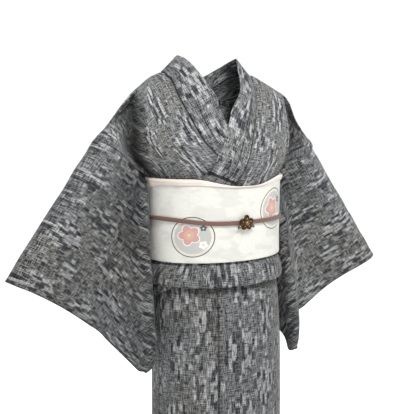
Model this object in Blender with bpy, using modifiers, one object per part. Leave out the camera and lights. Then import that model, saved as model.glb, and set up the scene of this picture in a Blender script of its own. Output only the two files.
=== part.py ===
"""Worn tsumugi kimono with its belt, one solid for each cut piece."""
import math

import bmesh
import bpy
import numpy as np

# Sizes in metres, the garment faces the negative Y side
CLOTH = 0.0014
COLLAR_CLOTH = 0.0026
OBI_CLOTH = 0.0030
SEAM_GAP = 0.0005
WAIST_Z = -0.285
OBI_TOP_Z = -0.235
OBI_LOW_Z = -0.390
HEM_Z = -1.330
SIDE_DEG = 100.0
OKUMI_DEG = 20.0
OKUMI_EDGE_DEG = 80.0
OVERFOLD_EDGE_DEG = 66.0
SLEEVE_WIDTH = 0.330
SLEEVE_DEPTH = 0.400
CUFF_OPEN = 0.230
SLEEVE_CORNER = 0.028
ARM_RADIUS = 0.040
BAG_HALF_GAP = 0.0055
DRUM_WIDTH = 0.300
TAIL_WIDTH = 0.296
HAND_HALF = 0.168
CORD_Z = -0.312
ORNAMENT_HALF_WIDTH = 0.0150
ORNAMENT_HALF_HEIGHT = 0.0110

# Distance of each layer from the inner form
OFF_SKIRT_IN = 0.0020
OFF_SKIRT_OUT = 0.0042
OFF_BODY = 0.0065
OFF_BODY_TOP = 0.0115
OFF_COLLAR = 0.0072
OFF_COLLAR_TOP = 0.0129
OFF_OBI = 0.0171

# Inner form: height, half width, depth in front, depth behind, centre
FORM = (
    (0.060, 0.120, 0.060, 0.080, 0.0),
    (0.000, 0.160, 0.072, 0.098, 0.0),
    (-0.050, 0.186, 0.086, 0.106, 0.0),
    (-0.100, 0.182, 0.105, 0.108, 0.0),
    (-0.150, 0.170, 0.112, 0.106, 0.0),
    (-0.195, 0.151, 0.107, 0.101, 0.0),
    (-0.215, 0.1405, 0.1005, 0.0980, 0.0),
    (-0.235, 0.1378, 0.0978, 0.0965, 0.0),
    (-0.285, 0.137, 0.097, 0.096, 0.0),
    (-0.390, 0.137, 0.097, 0.096, 0.0),
    (-0.420, 0.140, 0.101, 0.098, -0.003),
    (-0.480, 0.143, 0.106, 0.101, -0.009),
    (-0.600, 0.147, 0.108, 0.105, -0.014),
    (-0.900, 0.148, 0.108, 0.105, -0.015),
    (-1.400, 0.142, 0.105, 0.102, -0.015),
)

# Shoulder ridge: share of the width, x, y, height
RIDGE_LEFT = (
    (0.00, 0.000, 0.036, 0.000),
    (0.35, 0.108, 0.038, -0.002),
    (0.50, 0.150, 0.020, -0.026),
    (0.65, 0.187, 0.000, -0.056),
    (0.82, 0.221, 0.000, -0.106),
    (1.00, 0.256, 0.000, -0.160),
)
RIDGE_RIGHT = (
    (0.00, 0.000, 0.036, 0.000),
    (0.35, 0.108, 0.038, -0.002),
    (0.50, 0.153, 0.020, -0.023),
    (0.65, 0.195, 0.000, -0.053),
    (0.82, 0.232, 0.000, -0.092),
    (1.00, 0.271, 0.000, -0.136),
)

# Collar seam on each front: share of the height, share of the width
SEAM_LEFT = (
    (0.00, 0.350), (0.20, 0.315), (0.38, 0.262), (0.60, 0.160),
    (0.78, 0.060), (0.90, -0.050), (1.00, -0.200),
)
SEAM_RIGHT = (
    (0.00, 0.350), (0.20, 0.335), (0.38, 0.315), (0.60, 0.262),
    (0.70, 0.200), (0.90, -0.050), (1.00, -0.200),
)
NECK_BACK = 0.400

# Sleeve: height, valley x, valley y, ridge x, ridge y, all at the folds
FOLDS_RIGHT = (
    (-0.180, 0.158, 0.012, 0.170, -0.010),
    (-0.235, 0.182, 0.020, 0.173, -0.030),
    (-0.300, 0.209, 0.028, 0.176, -0.043),
    (-0.385, 0.239, 0.035, 0.179, -0.060),
    (-0.450, 0.249, 0.039, 0.181, -0.072),
    (-0.550, 0.256, 0.043, 0.183, -0.086),
    (-0.585, 0.258, 0.044, 0.185, -0.088),
    (-0.630, 0.260, 0.045, 0.200, -0.060),
    (-0.700, 0.262, 0.045, 0.204, -0.050),
)
FOLDS_LEFT = (
    (-0.180, 0.151, 0.012, 0.162, -0.006),
    (-0.250, 0.181, 0.020, 0.164, -0.014),
    (-0.300, 0.202, 0.028, 0.167, -0.020),
    (-0.385, 0.232, 0.035, 0.171, -0.036),
    (-0.450, 0.242, 0.039, 0.174, -0.055),
    (-0.550, 0.249, 0.043, 0.175, -0.076),
    (-0.585, 0.251, 0.044, 0.175, -0.078),
    (-0.630, 0.253, 0.045, 0.184, -0.064),
    (-0.700, 0.255, 0.045, 0.188, -0.054),
)
# Inner edge of the collar in front: stop, x, y, height, y only while it stands free
INNER_LEFT = (
    (0.30, 0.068, 0.022, 0.040), (0.40, 0.061, 0.004, 0.024), (0.50, 0.050, -0.022, 0.002),
    (0.60, 0.035, -0.055, -0.028), (0.70, 0.010, -0.086, -0.068), (0.80, -0.024, -0.105, -0.128),
    (0.90, -0.064, -0.100, -0.195), (1.00, -0.112, -0.085, -0.262),
)
INNER_RIGHT = (
    (0.30, 0.075, 0.026, 0.042), (0.40, 0.0630, 0.008, 0.033), (0.50, 0.050, -0.018, 0.009),
    (0.60, 0.037, -0.055, -0.030), (0.70, 0.022, -0.088, -0.070), (0.80, 0.001, -0.105, -0.130),
    (0.90, -0.040, -0.100, -0.198), (1.00, -0.088, -0.085, -0.262),
)
SIDES = {
    "left": {
        "sign": 1.0, "seam": SEAM_LEFT, "ridge": RIDGE_LEFT, "folds": FOLDS_LEFT,
        "top": (0.256, -0.160), "cuff": (0.459, -0.443), "low_drop": 0.70, "inner": INNER_LEFT,
    },
    "right": {
        "sign": -1.0, "seam": SEAM_RIGHT, "ridge": RIDGE_RIGHT, "folds": FOLDS_RIGHT,
        "top": (0.271, -0.136), "cuff": (0.457, -0.410), "low_drop": 0.88, "inner": INNER_RIGHT,
    },
}


def table(rows, key, column):
    """Smooth value of one column of a table at a key."""
    keys = [row[0] for row in rows]
    values = [row[column] for row in rows]
    if keys[0] > keys[-1]:
        keys.reverse()
        values.reverse()
    key = min(max(key, keys[0]), keys[-1])
    i = 0
    while i < len(keys) - 2 and key > keys[i + 1]:
        i += 1
    step = keys[i + 1] - keys[i]
    t = (key - keys[i]) / step
    slope = (values[i + 1] - values[i]) / step
    before = slope
    after = slope
    if i > 0:
        before = (values[i + 1] - values[i - 1]) / (keys[i + 1] - keys[i - 1])
    if i < len(keys) - 2:
        after = (values[i + 2] - values[i]) / (keys[i + 2] - keys[i])
    h00 = (1 + 2 * t) * (1 - t) ** 2
    h10 = t * (1 - t) ** 2
    h01 = t * t * (3 - 2 * t)
    h11 = t * t * (t - 1)
    return h00 * values[i] + h10 * step * before + h01 * values[i + 1] + h11 * step * after


def smooth(value, low, high):
    """Soft step from 0 at low to 1 at high."""
    t = min(max((value - low) / (high - low), 0.0), 1.0)
    return t * t * (3 - 2 * t)


def unit(vector):
    """Vector of length one."""
    return vector / max(np.linalg.norm(vector), 1e-12)


def form_normal(deg, z):
    """Outward direction of the inner form, level."""
    a = table(FORM, z, 1)
    depth = table(FORM, z, 2) if math.cos(math.radians(deg)) >= 0 else table(FORM, z, 3)
    return unit(np.array((math.sin(math.radians(deg)) / a, -math.cos(math.radians(deg)) / depth, 0.0)))


def form(deg, z, off):
    """Point of the body form, 0 degrees in front and 90 on the wearer's left."""
    a = table(FORM, z, 1)
    depth = table(FORM, z, 2) if math.cos(math.radians(deg)) >= 0 else table(FORM, z, 3)
    x = a * math.sin(math.radians(deg))
    y = table(FORM, z, 4) - depth * math.cos(math.radians(deg))
    return np.array((x, y, z)) + off * form_normal(deg, z)


def ridge(side, share):
    """Point of the shoulder ridge, x always positive."""
    rows = SIDES[side]["ridge"]
    return np.array((table(rows, share, 1), table(rows, share, 2), table(rows, share, 3)))


def trunk(side, share, height, off, behind):
    """Chest or back surface between the shoulder ridge and the waist."""
    mirror = 1.0
    if share < 0:
        mirror = -1.0
        share = -share
    top = ridge(side, share)
    turn = math.pi / 2 * height
    z = top[2] - (top[2] - WAIST_Z) * (1 - math.cos(turn))
    near = math.sin(turn)
    near = near + (1 - near) * smooth(-z, 0.150, 0.213)
    deg = SIDE_DEG * share
    if behind:
        deg = 180 - (180 - SIDE_DEG) * share
        power = 0.10 + 0.90 * smooth(share, 0.0, 0.65)
        near = max(near, 1e-9) ** power
    base = form(deg, z, 0.0)
    level = form_normal(deg, z)
    point = np.array((top[0] + (base[0] - top[0]) * near, top[1] + (base[1] - top[1]) * near, z))
    up = np.array((0.45 * smooth(share, 0.1, 0.5), 0.0, 0.9))
    normal = unit(level * near + up * (1 - near))
    point = point + off * normal
    point[0] *= mirror
    normal[0] *= mirror
    return point, normal


def chest_point(side, x, z, off):
    """Point of the chest surface over a given x and height."""
    height = 2 / math.pi * math.acos(min(max(1 - min(z, 0.0) / WAIST_Z, -1.0), 1.0))
    low = -0.6
    high = 0.6
    for _ in range(30):
        mid = (low + high) / 2
        if trunk(side, mid, height, off, False)[0][0] < x:
            low = mid
        else:
            high = mid
    return trunk(side, (low + high) / 2, height, off, False)


def fold_runs(side, z):
    """Start of a level row on the arm line and the runs to its two folds."""
    data = SIDES[side]
    top = data["top"]
    cuff = data["cuff"]
    slope = (cuff[0] - top[0]) / (top[1] - cuff[1])
    start = min(top[0] + (top[1] - z) * slope, cuff[0])
    valley = (table(data["folds"], z, 1), table(data["folds"], z, 2))
    crest = (table(data["folds"], z, 3), table(data["folds"], z, 4))
    first = math.hypot(start - valley[0], valley[1])
    return start, first, first + math.hypot(crest[0] - valley[0], crest[1] - valley[1]) - 0.012


def sleeve_path(side, z, run):
    """Plan position and heading along one level row of the folded sleeve."""
    data = SIDES[side]
    start, first, second = fold_runs(side, z)
    valley = (table(data["folds"], z, 1), table(data["folds"], z, 2))
    crest = (table(data["folds"], z, 3), table(data["folds"], z, 4))
    lean = min(math.atan2(valley[1], max(start - valley[0], 0.02)), 0.30)
    turn = math.atan2(valley[1] - crest[1], valley[0] - crest[0])
    bend_in = 0.030
    bend_out = 0.026
    steps = np.linspace(0.0, max(run, 1e-6), 240)

    def ramp(centre, width):
        t = np.clip((steps - centre) / width + 0.5, 0.0, 1.0)
        return t * t * (3 - 2 * t)

    back = math.radians(-80.0)
    heading = -lean + (turn + lean) * ramp(first, bend_in) + (back - turn) * ramp(second, bend_out)
    ds = steps[1] - steps[0]
    dx = -np.cos(heading)
    dy = -np.sin(heading)
    x = start + ds * (dx.sum() - (dx[0] + dx[-1]) / 2)
    y = ds * (dy.sum() - (dy[0] + dy[-1]) / 2)
    past = max(0.0, run - second)
    return x, y, heading[-1], past


def sleeve_point(side, along, down, offset):
    """Point of the sleeve from its flat place and the distance from its middle."""
    data = SIDES[side]
    top = np.array(data["top"])
    cuff = np.array(data["cuff"])
    arm = (cuff - top) / np.linalg.norm(cuff - top)
    fall = np.array((arm[1], -arm[0]))
    low = down
    if down > CUFF_OPEN:
        low = CUFF_OPEN + (down - CUFF_OPEN) * data["low_drop"]
    flat_x = top[0] + arm[0] * along + fall[0] * down
    z = top[1] + arm[1] * along + fall[1] * low
    slope = (cuff[0] - top[0]) / (top[1] - cuff[1])
    arm_x = top[0] + (top[1] - z) * slope
    start = min(arm_x, cuff[0])
    run = start - flat_x
    if run < 0:
        x, y, heading, past = flat_x, 0.0, 0.0, 0.0
    else:
        x, y, heading, past = sleeve_path(side, z, run)
    normal = np.array((math.sin(heading), -math.cos(heading)))
    sink = 0.080 * (1 - math.exp(-past / 0.09)) * smooth(-z, 0.22, 0.45)
    clear = 0.135 + 0.0335 * smooth(-z, 0.188, 0.210)
    clear = clear + 0.004 * smooth(y, 0.0, 0.03) + 0.020 * smooth(y, 0.03, 0.11)
    x = max(x, clear) + math.log(1 + math.exp(-abs(x - clear) / 0.002)) * 0.002
    lift = 0.011 * (along / SLEEVE_WIDTH) ** 3 * math.sin(math.pi * min(down / 0.27, 1.0))
    point = np.array((x + normal[0] * offset, y + normal[1] * offset, z - sink + lift))
    point[0] *= data["sign"]
    return point


def sleeve_spread(along, down):
    """Half distance between the two walls of the sleeve."""
    radius = ARM_RADIUS - 0.008 * along / SLEEVE_WIDTH
    end = sleeve_end(along)
    if down < radius:
        value = radius * math.sqrt(max(0.0, 1 - (1 - down / radius) ** 2))
    else:
        value = radius + (BAG_HALF_GAP - radius) * smooth(down, radius, 0.110 + 0.055 * along / SLEEVE_WIDTH)
    low = BAG_HALF_GAP
    edge = smooth(along, SLEEVE_WIDTH - 0.030, SLEEVE_WIDTH - 0.004)
    closed = edge * smooth(down, CUFF_OPEN - 0.012, CUFF_OPEN + 0.012)
    value = value * (1 - closed) + 0.0014 * closed
    low = low * (1 - closed) + 0.0014 * closed
    if down > end - low:
        value = min(value, low * math.sqrt(max(0.0, 1 - ((down - end + low) / low) ** 2)))
    return value


def sleeve_end(along):
    """Depth of the sleeve at one place along the arm, with the round corner."""
    past = max(0.0, along - (SLEEVE_WIDTH - SLEEVE_CORNER))
    return SLEEVE_DEPTH - SLEEVE_CORNER + math.sqrt(max(0.0, SLEEVE_CORNER ** 2 - past ** 2))


def side_edge(side, z, behind):
    """Edge of the body panel along the sleeve seam, then down the side."""
    data = SIDES[side]
    top = np.array(data["top"])
    cuff = np.array(data["cuff"])
    arm = (cuff - top) / np.linalg.norm(cuff - top)
    lowest = -0.190 if behind else -0.205
    level = max(min(z, top[1]), lowest)
    down = (top[1] - level) / arm[0]
    spread = sleeve_spread(0.0, down)
    gap = 0.0018 + 0.0012 * smooth(down, 0.05, 0.09)
    point = sleeve_point(side, -gap, down, -spread if behind else spread)
    point[0] = abs(point[0])
    point[2] = z
    deg = SIDE_DEG + (0.3 if behind else -0.3)
    base = form(deg, z, OFF_BODY if behind or side == "right" else OFF_BODY_TOP)
    share = smooth(-z, 0.186, -lowest + 0.013)
    mixed = point * (1 - share) + base * share
    mixed[2] = z
    return mixed


def make_object(name, material, group):
    """Empty mesh object with its material."""
    mesh = bpy.data.meshes.new(name)
    item = bpy.data.objects.new(name, mesh)
    item.data.materials.append(material)
    group.objects.link(item)
    return item


def grid_sheet(name, columns, rows, place, thick, material, group, ring=False):
    """Cloth grid placed by a function, then given its thickness."""
    item = make_object(name, material, group)
    mesh = bmesh.new()
    bmesh.ops.create_grid(mesh, x_segments=columns, y_segments=rows, size=1.0)
    for vert in mesh.verts:
        i = int(round((vert.co.x + 1) / 2 * columns))
        j = int(round((vert.co.y + 1) / 2 * rows))
        vert.co = place(i, j)
    if ring:
        bmesh.ops.remove_doubles(mesh, verts=mesh.verts, dist=0.00002)
    mesh.to_mesh(item.data)
    mesh.free()
    if thick > 0:
        solid = item.modifiers.new("thickness", "SOLIDIFY")
        solid.thickness = thick
        solid.offset = 0.0
        solid.use_even_offset = True
        solid.use_rim = True
    return item


def cloth_material(name, colour, roughness):
    """Own surface for one piece."""
    material = bpy.data.materials.new(name)
    material.use_nodes = True
    shader = material.node_tree.nodes["Principled BSDF"]
    shader.inputs["Base Color"].default_value = (colour[0], colour[1], colour[2], 1.0)
    shader.inputs["Roughness"].default_value = roughness
    return material


TSUMUGI_GREY = (0.18, 0.19, 0.20)
IVORY = (0.86, 0.85, 0.80)
PINK = (0.80, 0.68, 0.64)
BROWN = (0.17, 0.09, 0.065)
BRONZE = (0.16, 0.10, 0.05)

# Overfold at the waist: distance from the form, height
OVERFOLD = (
    (0.0000, -0.330), (0.0000, -0.388), (0.0020, -0.397), (0.0035, -0.408), (0.0038, -0.424),
    (0.0034, -0.4355), (0.0021, -0.4400), (0.0006, -0.4365), (0.0002, -0.427), (0.0002, -0.406),
)
FRONT_ROWS = (0.0, 0.07, 0.16, 0.26, 0.36, 0.46, 0.55, 0.64, 0.70, 0.79, 0.87, 0.935, 1.0)
NECK_STOPS = (0.0, 0.05, 0.10, 0.15, 0.20, 0.25)
BACK_ROWS = tuple(NECK_BACK * math.cos(math.pi / 2 * t / 0.3) for t in (0.3, 0.25, 0.20, 0.15, 0.10, 0.05, 0.0))
BACK_ROWS = BACK_ROWS + (0.50, 0.60, 0.69, 0.80, 0.90, 1.0)
BODY_COLUMNS = 12


def body_off(side, height, behind):
    """Layer distance of the body panel above the waist."""
    if side == "right" or behind:
        return OFF_BODY
    return OFF_BODY + (OFF_BODY_TOP - OFF_BODY) * smooth(height, 0.08, 0.42)


def front_share(side, height):
    """Width share of the collar seam on one front."""
    return table(SIDES[side]["seam"], height, 1)


def back_share(height):
    """Width share of the neck seam and the centre seam behind."""
    if height >= NECK_BACK:
        return 0.0
    return 0.35 * 2 / math.pi * math.acos(height / NECK_BACK)


def body_panel_point(side, share, height, behind):
    """Body panel above the waist, share 0 at the collar and 1 at the side."""
    inner = back_share(height) if behind else front_share(side, height)
    spot = inner + (1 - inner) * share
    off = body_off(side, height, behind)
    point = trunk(side, spot, height, off, behind)[0]
    last = trunk(side, 1.0, height, off, behind)[0]
    wanted = side_edge(side, last[2], behind)
    pull = max(0.0, (spot - 0.45) / 0.55) ** 2.2
    point = point + (wanted - last) * pull
    if not behind:
        groove = math.exp(-((spot - 0.80) / 0.085) ** 2) * smooth(height, 0.22, 0.55) * smooth(height, 0.92, 0.74)
        point[1] += 0.026 * groove
    if behind and height >= NECK_BACK:
        point[0] = point[0] + SEAM_GAP * 0.6 * (1 - share)
    point[0] *= SIDES[side]["sign"]
    return point


def overfold_point(side, share, row, behind):
    """Body panel under the belt and round the overfold."""
    sign = SIDES[side]["sign"]
    off = OFF_BODY if side == "right" or behind else OFF_BODY_TOP
    if side == "left" and not behind:
        off += 0.0014 * smooth(-OVERFOLD[row][1], 0.39, 0.41)
    if behind:
        deg = 180 - (180 - SIDE_DEG) * share
        deg = deg - 0.18 * (1 - share) + 0.3 * share
    else:
        deg = -OKUMI_DEG + (SIDE_DEG + OKUMI_DEG) * share
        deg = deg + 0.12 * (1 - share) - 0.3 * share
    z = OVERFOLD[row][1]
    if side == "right":
        reach = smooth(share, 0.60, 0.95)
        z = z - 0.030 * reach * smooth(-z, 0.39, 0.42)
    return form(sign * deg, z, off + OVERFOLD[row][0])


def body_panel(side, group):
    """Front and back of one body panel, one length of cloth over the shoulder."""
    back = [("over", k) for k in range(len(OVERFOLD) - 1, -1, -1)]
    back += [("trunk", h) for h in reversed(BACK_ROWS)]
    front = [("trunk", h) for h in FRONT_ROWS[1:]]
    front += [("over", k) for k in range(len(OVERFOLD))]
    rows = [(kind, value, True) for kind, value in back]
    rows += [(kind, value, False) for kind, value in front]

    def place(i, j):
        kind, value, behind = rows[j]
        share = i / BODY_COLUMNS
        if kind == "over":
            return overfold_point(side, share, value, behind)
        return body_panel_point(side, share, value, behind)

    material = cloth_material("Body panel " + side, TSUMUGI_GREY, 0.9)
    return grid_sheet("body_" + side, BODY_COLUMNS, len(rows) - 1, place, CLOTH, material, group)


def upper_okumi(side, group):
    """Overlap strip of the body above the overfold, mostly under the belt."""
    sign = SIDES[side]["sign"]
    off = OFF_BODY if side == "right" else OFF_BODY_TOP
    columns = 5

    def place(i, j):
        z = OVERFOLD[j][1]
        last = OVERFOLD_EDGE_DEG + 9.0 * smooth(-z, 0.385, 0.44)
        deg = -(OKUMI_DEG + 0.12 + (last - OKUMI_DEG) * i / columns)
        extra = 0.0014 * smooth(-z, 0.39, 0.41) if side == "left" else 0.0
        return form(sign * deg, z, off + extra + OVERFOLD[j][0])

    material = cloth_material("Overlap above " + side, TSUMUGI_GREY, 0.9)
    rows = len(OVERFOLD) - 1
    return grid_sheet("okumi_upper_" + side, columns, rows, place, CLOTH, material, group)


def collar_tail(group):
    """End of the collar where it shows on the overfold."""
    columns = 2

    def place(i, j):
        z = OVERFOLD[j][1]
        first = OVERFOLD_EDGE_DEG + 0.35 + 9.0 * smooth(-z, 0.385, 0.44)
        deg = -(first + (94.0 - first) * i / columns)
        extra = 0.0014 * smooth(-z, 0.39, 0.41)
        return form(deg, z, OFF_BODY_TOP + extra + OVERFOLD[j][0])

    material = cloth_material("Collar tail", TSUMUGI_GREY, 0.9)
    return grid_sheet("collar_tail", columns, len(OVERFOLD) - 1, place, CLOTH, material, group)


SKIRT_ROWS = (-0.300, -0.345, -0.390, -0.420, -0.480, -0.600, -0.780, -0.980, -1.160, HEM_Z)


def wave(deg, z):
    """Shallow upright folds of the skirt."""
    depth = 0.0022 * smooth(-z, 0.50, 0.95)
    return depth * math.sin(math.radians(deg) * 7 + 0.6) * (0.6 + 0.4 * math.cos(math.radians(deg) * 3))


def skirt_strip(name, first, last, columns, off, title, group):
    """Straight strip of the skirt between two angles."""

    def place(i, j):
        z = SKIRT_ROWS[j]
        deg = first + (last - first) * i / columns
        return form(deg, z, off + wave(deg, z))

    material = cloth_material(title, TSUMUGI_GREY, 0.9)
    return grid_sheet(name, columns, len(SKIRT_ROWS) - 1, place, CLOTH, material, group)


COLLAR_T = NECK_STOPS + tuple(0.3 + 0.7 * height for height in FRONT_ROWS)


def collar_point(side, t, across):
    """Collar, t 0 at the back of the neck, 0.3 at the shoulder, 1 under the belt."""
    data = SIDES[side]
    if t <= 0.3:
        height = NECK_BACK * math.cos(math.pi / 2 * t / 0.3)
        share = 0.35 * t / 0.3
        off = OFF_BODY
        seam = trunk(side, share, height, off, True)[0]
    else:
        height = (t - 0.3) / 0.7
        share = front_share(side, height)
        top_off = OFF_COLLAR if side == "right" else OFF_COLLAR_TOP
        off = OFF_BODY + (top_off - OFF_BODY) * smooth(height, 0.08, 0.42)
        seam = trunk(side, share, height, off, False)[0]
    neck = smooth(t, 0.0, 0.30)
    edge = np.array([table(data["inner"], t, k) for k in (1, 2, 3)])
    lying = smooth(t, 0.62, 0.76)
    if t < 0.3:
        corner = np.array([table(data["inner"], 0.3, k) for k in (1, 2, 3)])
        behind = np.array((0.0, 0.126, -0.008))
        turn = math.pi / 2 * t / 0.3
        edge = np.array((corner[0] * math.sin(turn), corner[1] + (behind[1] - corner[1]) * math.cos(turn), 0.0))
        edge[2] = behind[2] + (corner[2] - behind[2]) * smooth(t, 0.0, 0.33)
    span = edge - seam
    start = 0.0009
    share = start / np.linalg.norm(span) + (1 - start / np.linalg.norm(span)) * across
    point = seam + span * share
    if lying > 0:
        flat = chest_point(side, point[0], min(point[2], -0.001), off)[0]
        flat[0] = point[0]
        flat[2] = point[2]
        point = point * (1 - lying) + flat * lying
    if 0.3 < t and lying < 1:
        belly = 0.006 * math.sin(math.pi * across) * smooth(t, 0.3, 0.5) * (1 - lying)
        point[1] -= belly
    point[0] *= data["sign"]
    return point


def collar_piece(name, title, stops, group):
    """One piece of the collar between two stops, negative stops on the right."""
    wide = 3

    def place(i, j):
        stop = stops[i]
        side = "left" if stop >= 0 else "right"
        return collar_point(side, abs(stop), j / wide)

    material = cloth_material(title, TSUMUGI_GREY, 0.9)
    return grid_sheet(name, len(stops) - 1, wide, place, COLLAR_CLOTH, material, group)


SLEEVE_SHARES = (0.0, 0.09, 0.19, 0.30, 0.41, 0.52, 0.63, 0.73, 0.82, 0.89, 0.94, 0.975, 1.0)
# Rows of the sleeve wall from the top fold down: kind, value, end on the outer edge
SLEEVE_ROWS = (
    ("arm", 0.0, 0.0), ("arm", 0.005, 0.006), ("arm", 0.018, 0.022), ("arm", 0.034, 0.045),
    ("arm", 0.049, 0.085), ("arm", 0.062, 0.135), ("valley", -0.026, 0.190), ("valley", -0.009, 0.225),
    ("valley", 0.009, 0.250), ("between", 0.36, 0.292), ("between", 0.70, 0.335),
    ("crest", -0.013, 0.374), ("crest", -0.005, 0.382), ("crest", 0.004, 0.388),
    ("crest", 0.013, 0.394), ("below", 0.34, 0.400), ("below", 0.68, 0.405),
    ("bottom", 0.0055, 0.409), ("bottom", 0.0016, 0.412), ("bottom", 0.0, 0.4159),
)


def outer_edge(run):
    """Place on the outer edge and the round corner, by length from the top."""
    straight = SLEEVE_DEPTH - SLEEVE_CORNER
    if run <= straight:
        return np.array((SLEEVE_WIDTH, run))
    turn = min((run - straight) / SLEEVE_CORNER, math.pi / 2)
    middle = SLEEVE_WIDTH - SLEEVE_CORNER
    return np.array((middle + SLEEVE_CORNER * math.cos(turn), straight + SLEEVE_CORNER * math.sin(turn)))


def fold_line(side, kind, shift):
    """Flat places along one fold, moved sideways, from the body edge outwards."""
    data = SIDES[side]
    top = np.array(data["top"])
    cuff = np.array(data["cuff"])
    arm = (cuff - top) / np.linalg.norm(cuff - top)
    fall = np.array((arm[1], -arm[0]))
    spots = []
    for k in range(260):
        z = -0.150 - 0.002 * k
        start, first, second = fold_runs(side, z)
        run = (first if kind == "valley" else second) + shift
        x = start - run
        down = (top[0] - x + arm[0] / arm[1] * (z - top[1])) / (-fall[0] + arm[0] / arm[1] * -fall[1])
        for _ in range(12):
            low = down
            if down > CUFF_OPEN:
                low = CUFF_OPEN + (down - CUFF_OPEN) * data["low_drop"]
            along = (z - top[1] - fall[1] * low) / arm[1]
            down = (x - top[0] - arm[0] * along) / fall[0]
        spots.append((along, down))
    return [spot for spot in spots if -0.05 < spot[0] < 0.40 and 0.05 < spot[1] < 0.45]


def follow(spots, last):
    """Places of one fold row, level steps along the arm, ending on the outer edge."""
    alongs = [spot[0] for spot in spots]
    downs = [spot[1] for spot in spots]
    line = []
    for share in SLEEVE_SHARES:
        along = SLEEVE_WIDTH * share
        line.append(np.array((along, float(np.interp(along, alongs, downs)))))
    pull = last - line[-1]
    return [spot + pull * share ** 5 for spot, share in zip(line, SLEEVE_SHARES)]


def sleeve_lattice(side):
    """Flat place of every row and column of the sleeve wall."""
    rows = []
    for kind, value, end in SLEEVE_ROWS:
        last = outer_edge(end)
        if kind in ("valley", "crest"):
            rows.append(follow(fold_line(side, kind, value), last))
        elif kind in ("arm", "bottom"):
            down = value if kind == "arm" else SLEEVE_DEPTH - value
            line = [np.array((SLEEVE_WIDTH * share, down)) for share in SLEEVE_SHARES]
            power = 1 if kind == "arm" else 5
            pull = last - line[-1]
            rows.append([spot + pull * share ** power for spot, share in zip(line, SLEEVE_SHARES)])
        else:
            rows.append((value, last))
    for k, row in enumerate(rows):
        if isinstance(row, tuple):
            below = k
            while isinstance(rows[below], tuple):
                below += 1
            first = max(j for j in range(k) if SLEEVE_ROWS[j][0] != SLEEVE_ROWS[k][0])
            part, last = row
            mixed = [one + (two - one) * part for one, two in zip(rows[first], rows[below])]
            pull = last - mixed[-1]
            rows[k] = [spot + pull * share ** 5 for spot, share in zip(mixed, SLEEVE_SHARES)]
    last_crest = max(k for k, row in enumerate(SLEEVE_ROWS) if row[0] == "crest")
    for k in range(1, last_crest + 1):
        for i in range(len(SLEEVE_SHARES) - 1):
            lowest = SLEEVE_DEPTH - 0.0075 - 0.0022 * (last_crest + 2 - k)
            rows[k][i][1] = min(max(rows[k][i][1], rows[k - 1][i][1] + 0.006), lowest)
    return rows


def sleeve(side, group):
    """Bag of one sleeve, open at the body side and at the cuff."""
    count = len(SLEEVE_ROWS) - 1
    ring = count * 2
    lattice = sleeve_lattice(side)

    def place(i, j):
        k = j % ring
        front = k <= count
        step = k if front else ring - k
        along, down = lattice[step][i]
        spread = sleeve_spread(along, down)
        if step in (0, count):
            spread = 0.0
        return sleeve_point(side, along, down, spread if front else -spread)

    material = cloth_material("Sleeve " + side, TSUMUGI_GREY, 0.9)
    return grid_sheet("sleeve_" + side, len(SLEEVE_SHARES) - 1, ring, place, CLOTH, material, group, True)


def obi_ring(group):
    """Belt band round the waist."""
    columns = 48
    rows = (OBI_TOP_Z, OBI_TOP_Z - 0.006, OBI_LOW_Z + 0.006, OBI_LOW_Z)

    def place(i, j):
        z = rows[j]
        edge = 0.0006 if j in (0, len(rows) - 1) else 0.0
        return form(360.0 * (i % columns) / columns, z, OFF_OBI - edge)

    material = cloth_material("Belt band", IVORY, 0.65)
    return grid_sheet("obi_band", columns, len(rows) - 1, place, OBI_CLOTH, material, group, True)


# Drum knot behind: depth, height
DRUM = (
    (0.1205, -0.2140), (0.1260, -0.1920), (0.1370, -0.1735), (0.1520, -0.1635), (0.1700, -0.1605),
    (0.1865, -0.1680), (0.1960, -0.1850), (0.1990, -0.2080), (0.1985, -0.2500), (0.1950, -0.3000),
    (0.1890, -0.3500), (0.1810, -0.4000), (0.1760, -0.4240), (0.1700, -0.4350), (0.1610, -0.4390),
    (0.1525, -0.4350), (0.1475, -0.4240), (0.1455, -0.3950), (0.1455, -0.3550),
)
TAIL = (
    (0.1419, -0.3450), (0.1419, -0.3900), (0.1419, -0.4300), (0.1425, -0.4600), (0.1445, -0.5080),
)
HAND_X = (-HAND_HALF, -0.160, -0.150, -0.090, -0.030, 0.030, 0.090, 0.150, 0.160, HAND_HALF)
# Cord behind: plan distance along the free side, then places across the hand
CORD_SIDE = (0.0, 0.30, 0.60, 0.86)
CORD_HAND = (0.1685, 0.1655, 0.1600, 0.1510, 0.1360, 0.1080, 0.0720, 0.0360, 0.0)
# Sash behind: step, x, y, height
SASH_BACK = (
    (12, 0.1560, 0.000, -0.2258), (14, 0.1568, 0.040, -0.2250), (16, 0.1572, 0.085, -0.2080),
    (18, 0.1570, 0.130, -0.1800), (19, 0.1530, 0.149, -0.1742), (20, 0.1420, 0.1565, -0.1732),
    (22, 0.0850, 0.1580, -0.1732), (24, 0.0000, 0.1585, -0.1732),
)
RING_STEPS = 48


def drum_line(rows, step, x, half, bow):
    """Point of the drum or the tail with a slight bow across."""
    y, z = rows[step]
    return np.array((x, y - bow * (x / half) ** 2, z))


def drum(group):
    """Drum knot of the belt, a band rolled over at the top and bottom."""
    columns = 8
    half = DRUM_WIDTH / 2

    def place(i, j):
        x = -half + DRUM_WIDTH * i / columns
        return drum_line(DRUM, j, x, half, 0.006)

    material = cloth_material("Drum knot", IVORY, 0.65)
    return grid_sheet("obi_drum", columns, len(DRUM) - 1, place, OBI_CLOTH, material, group)


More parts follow.
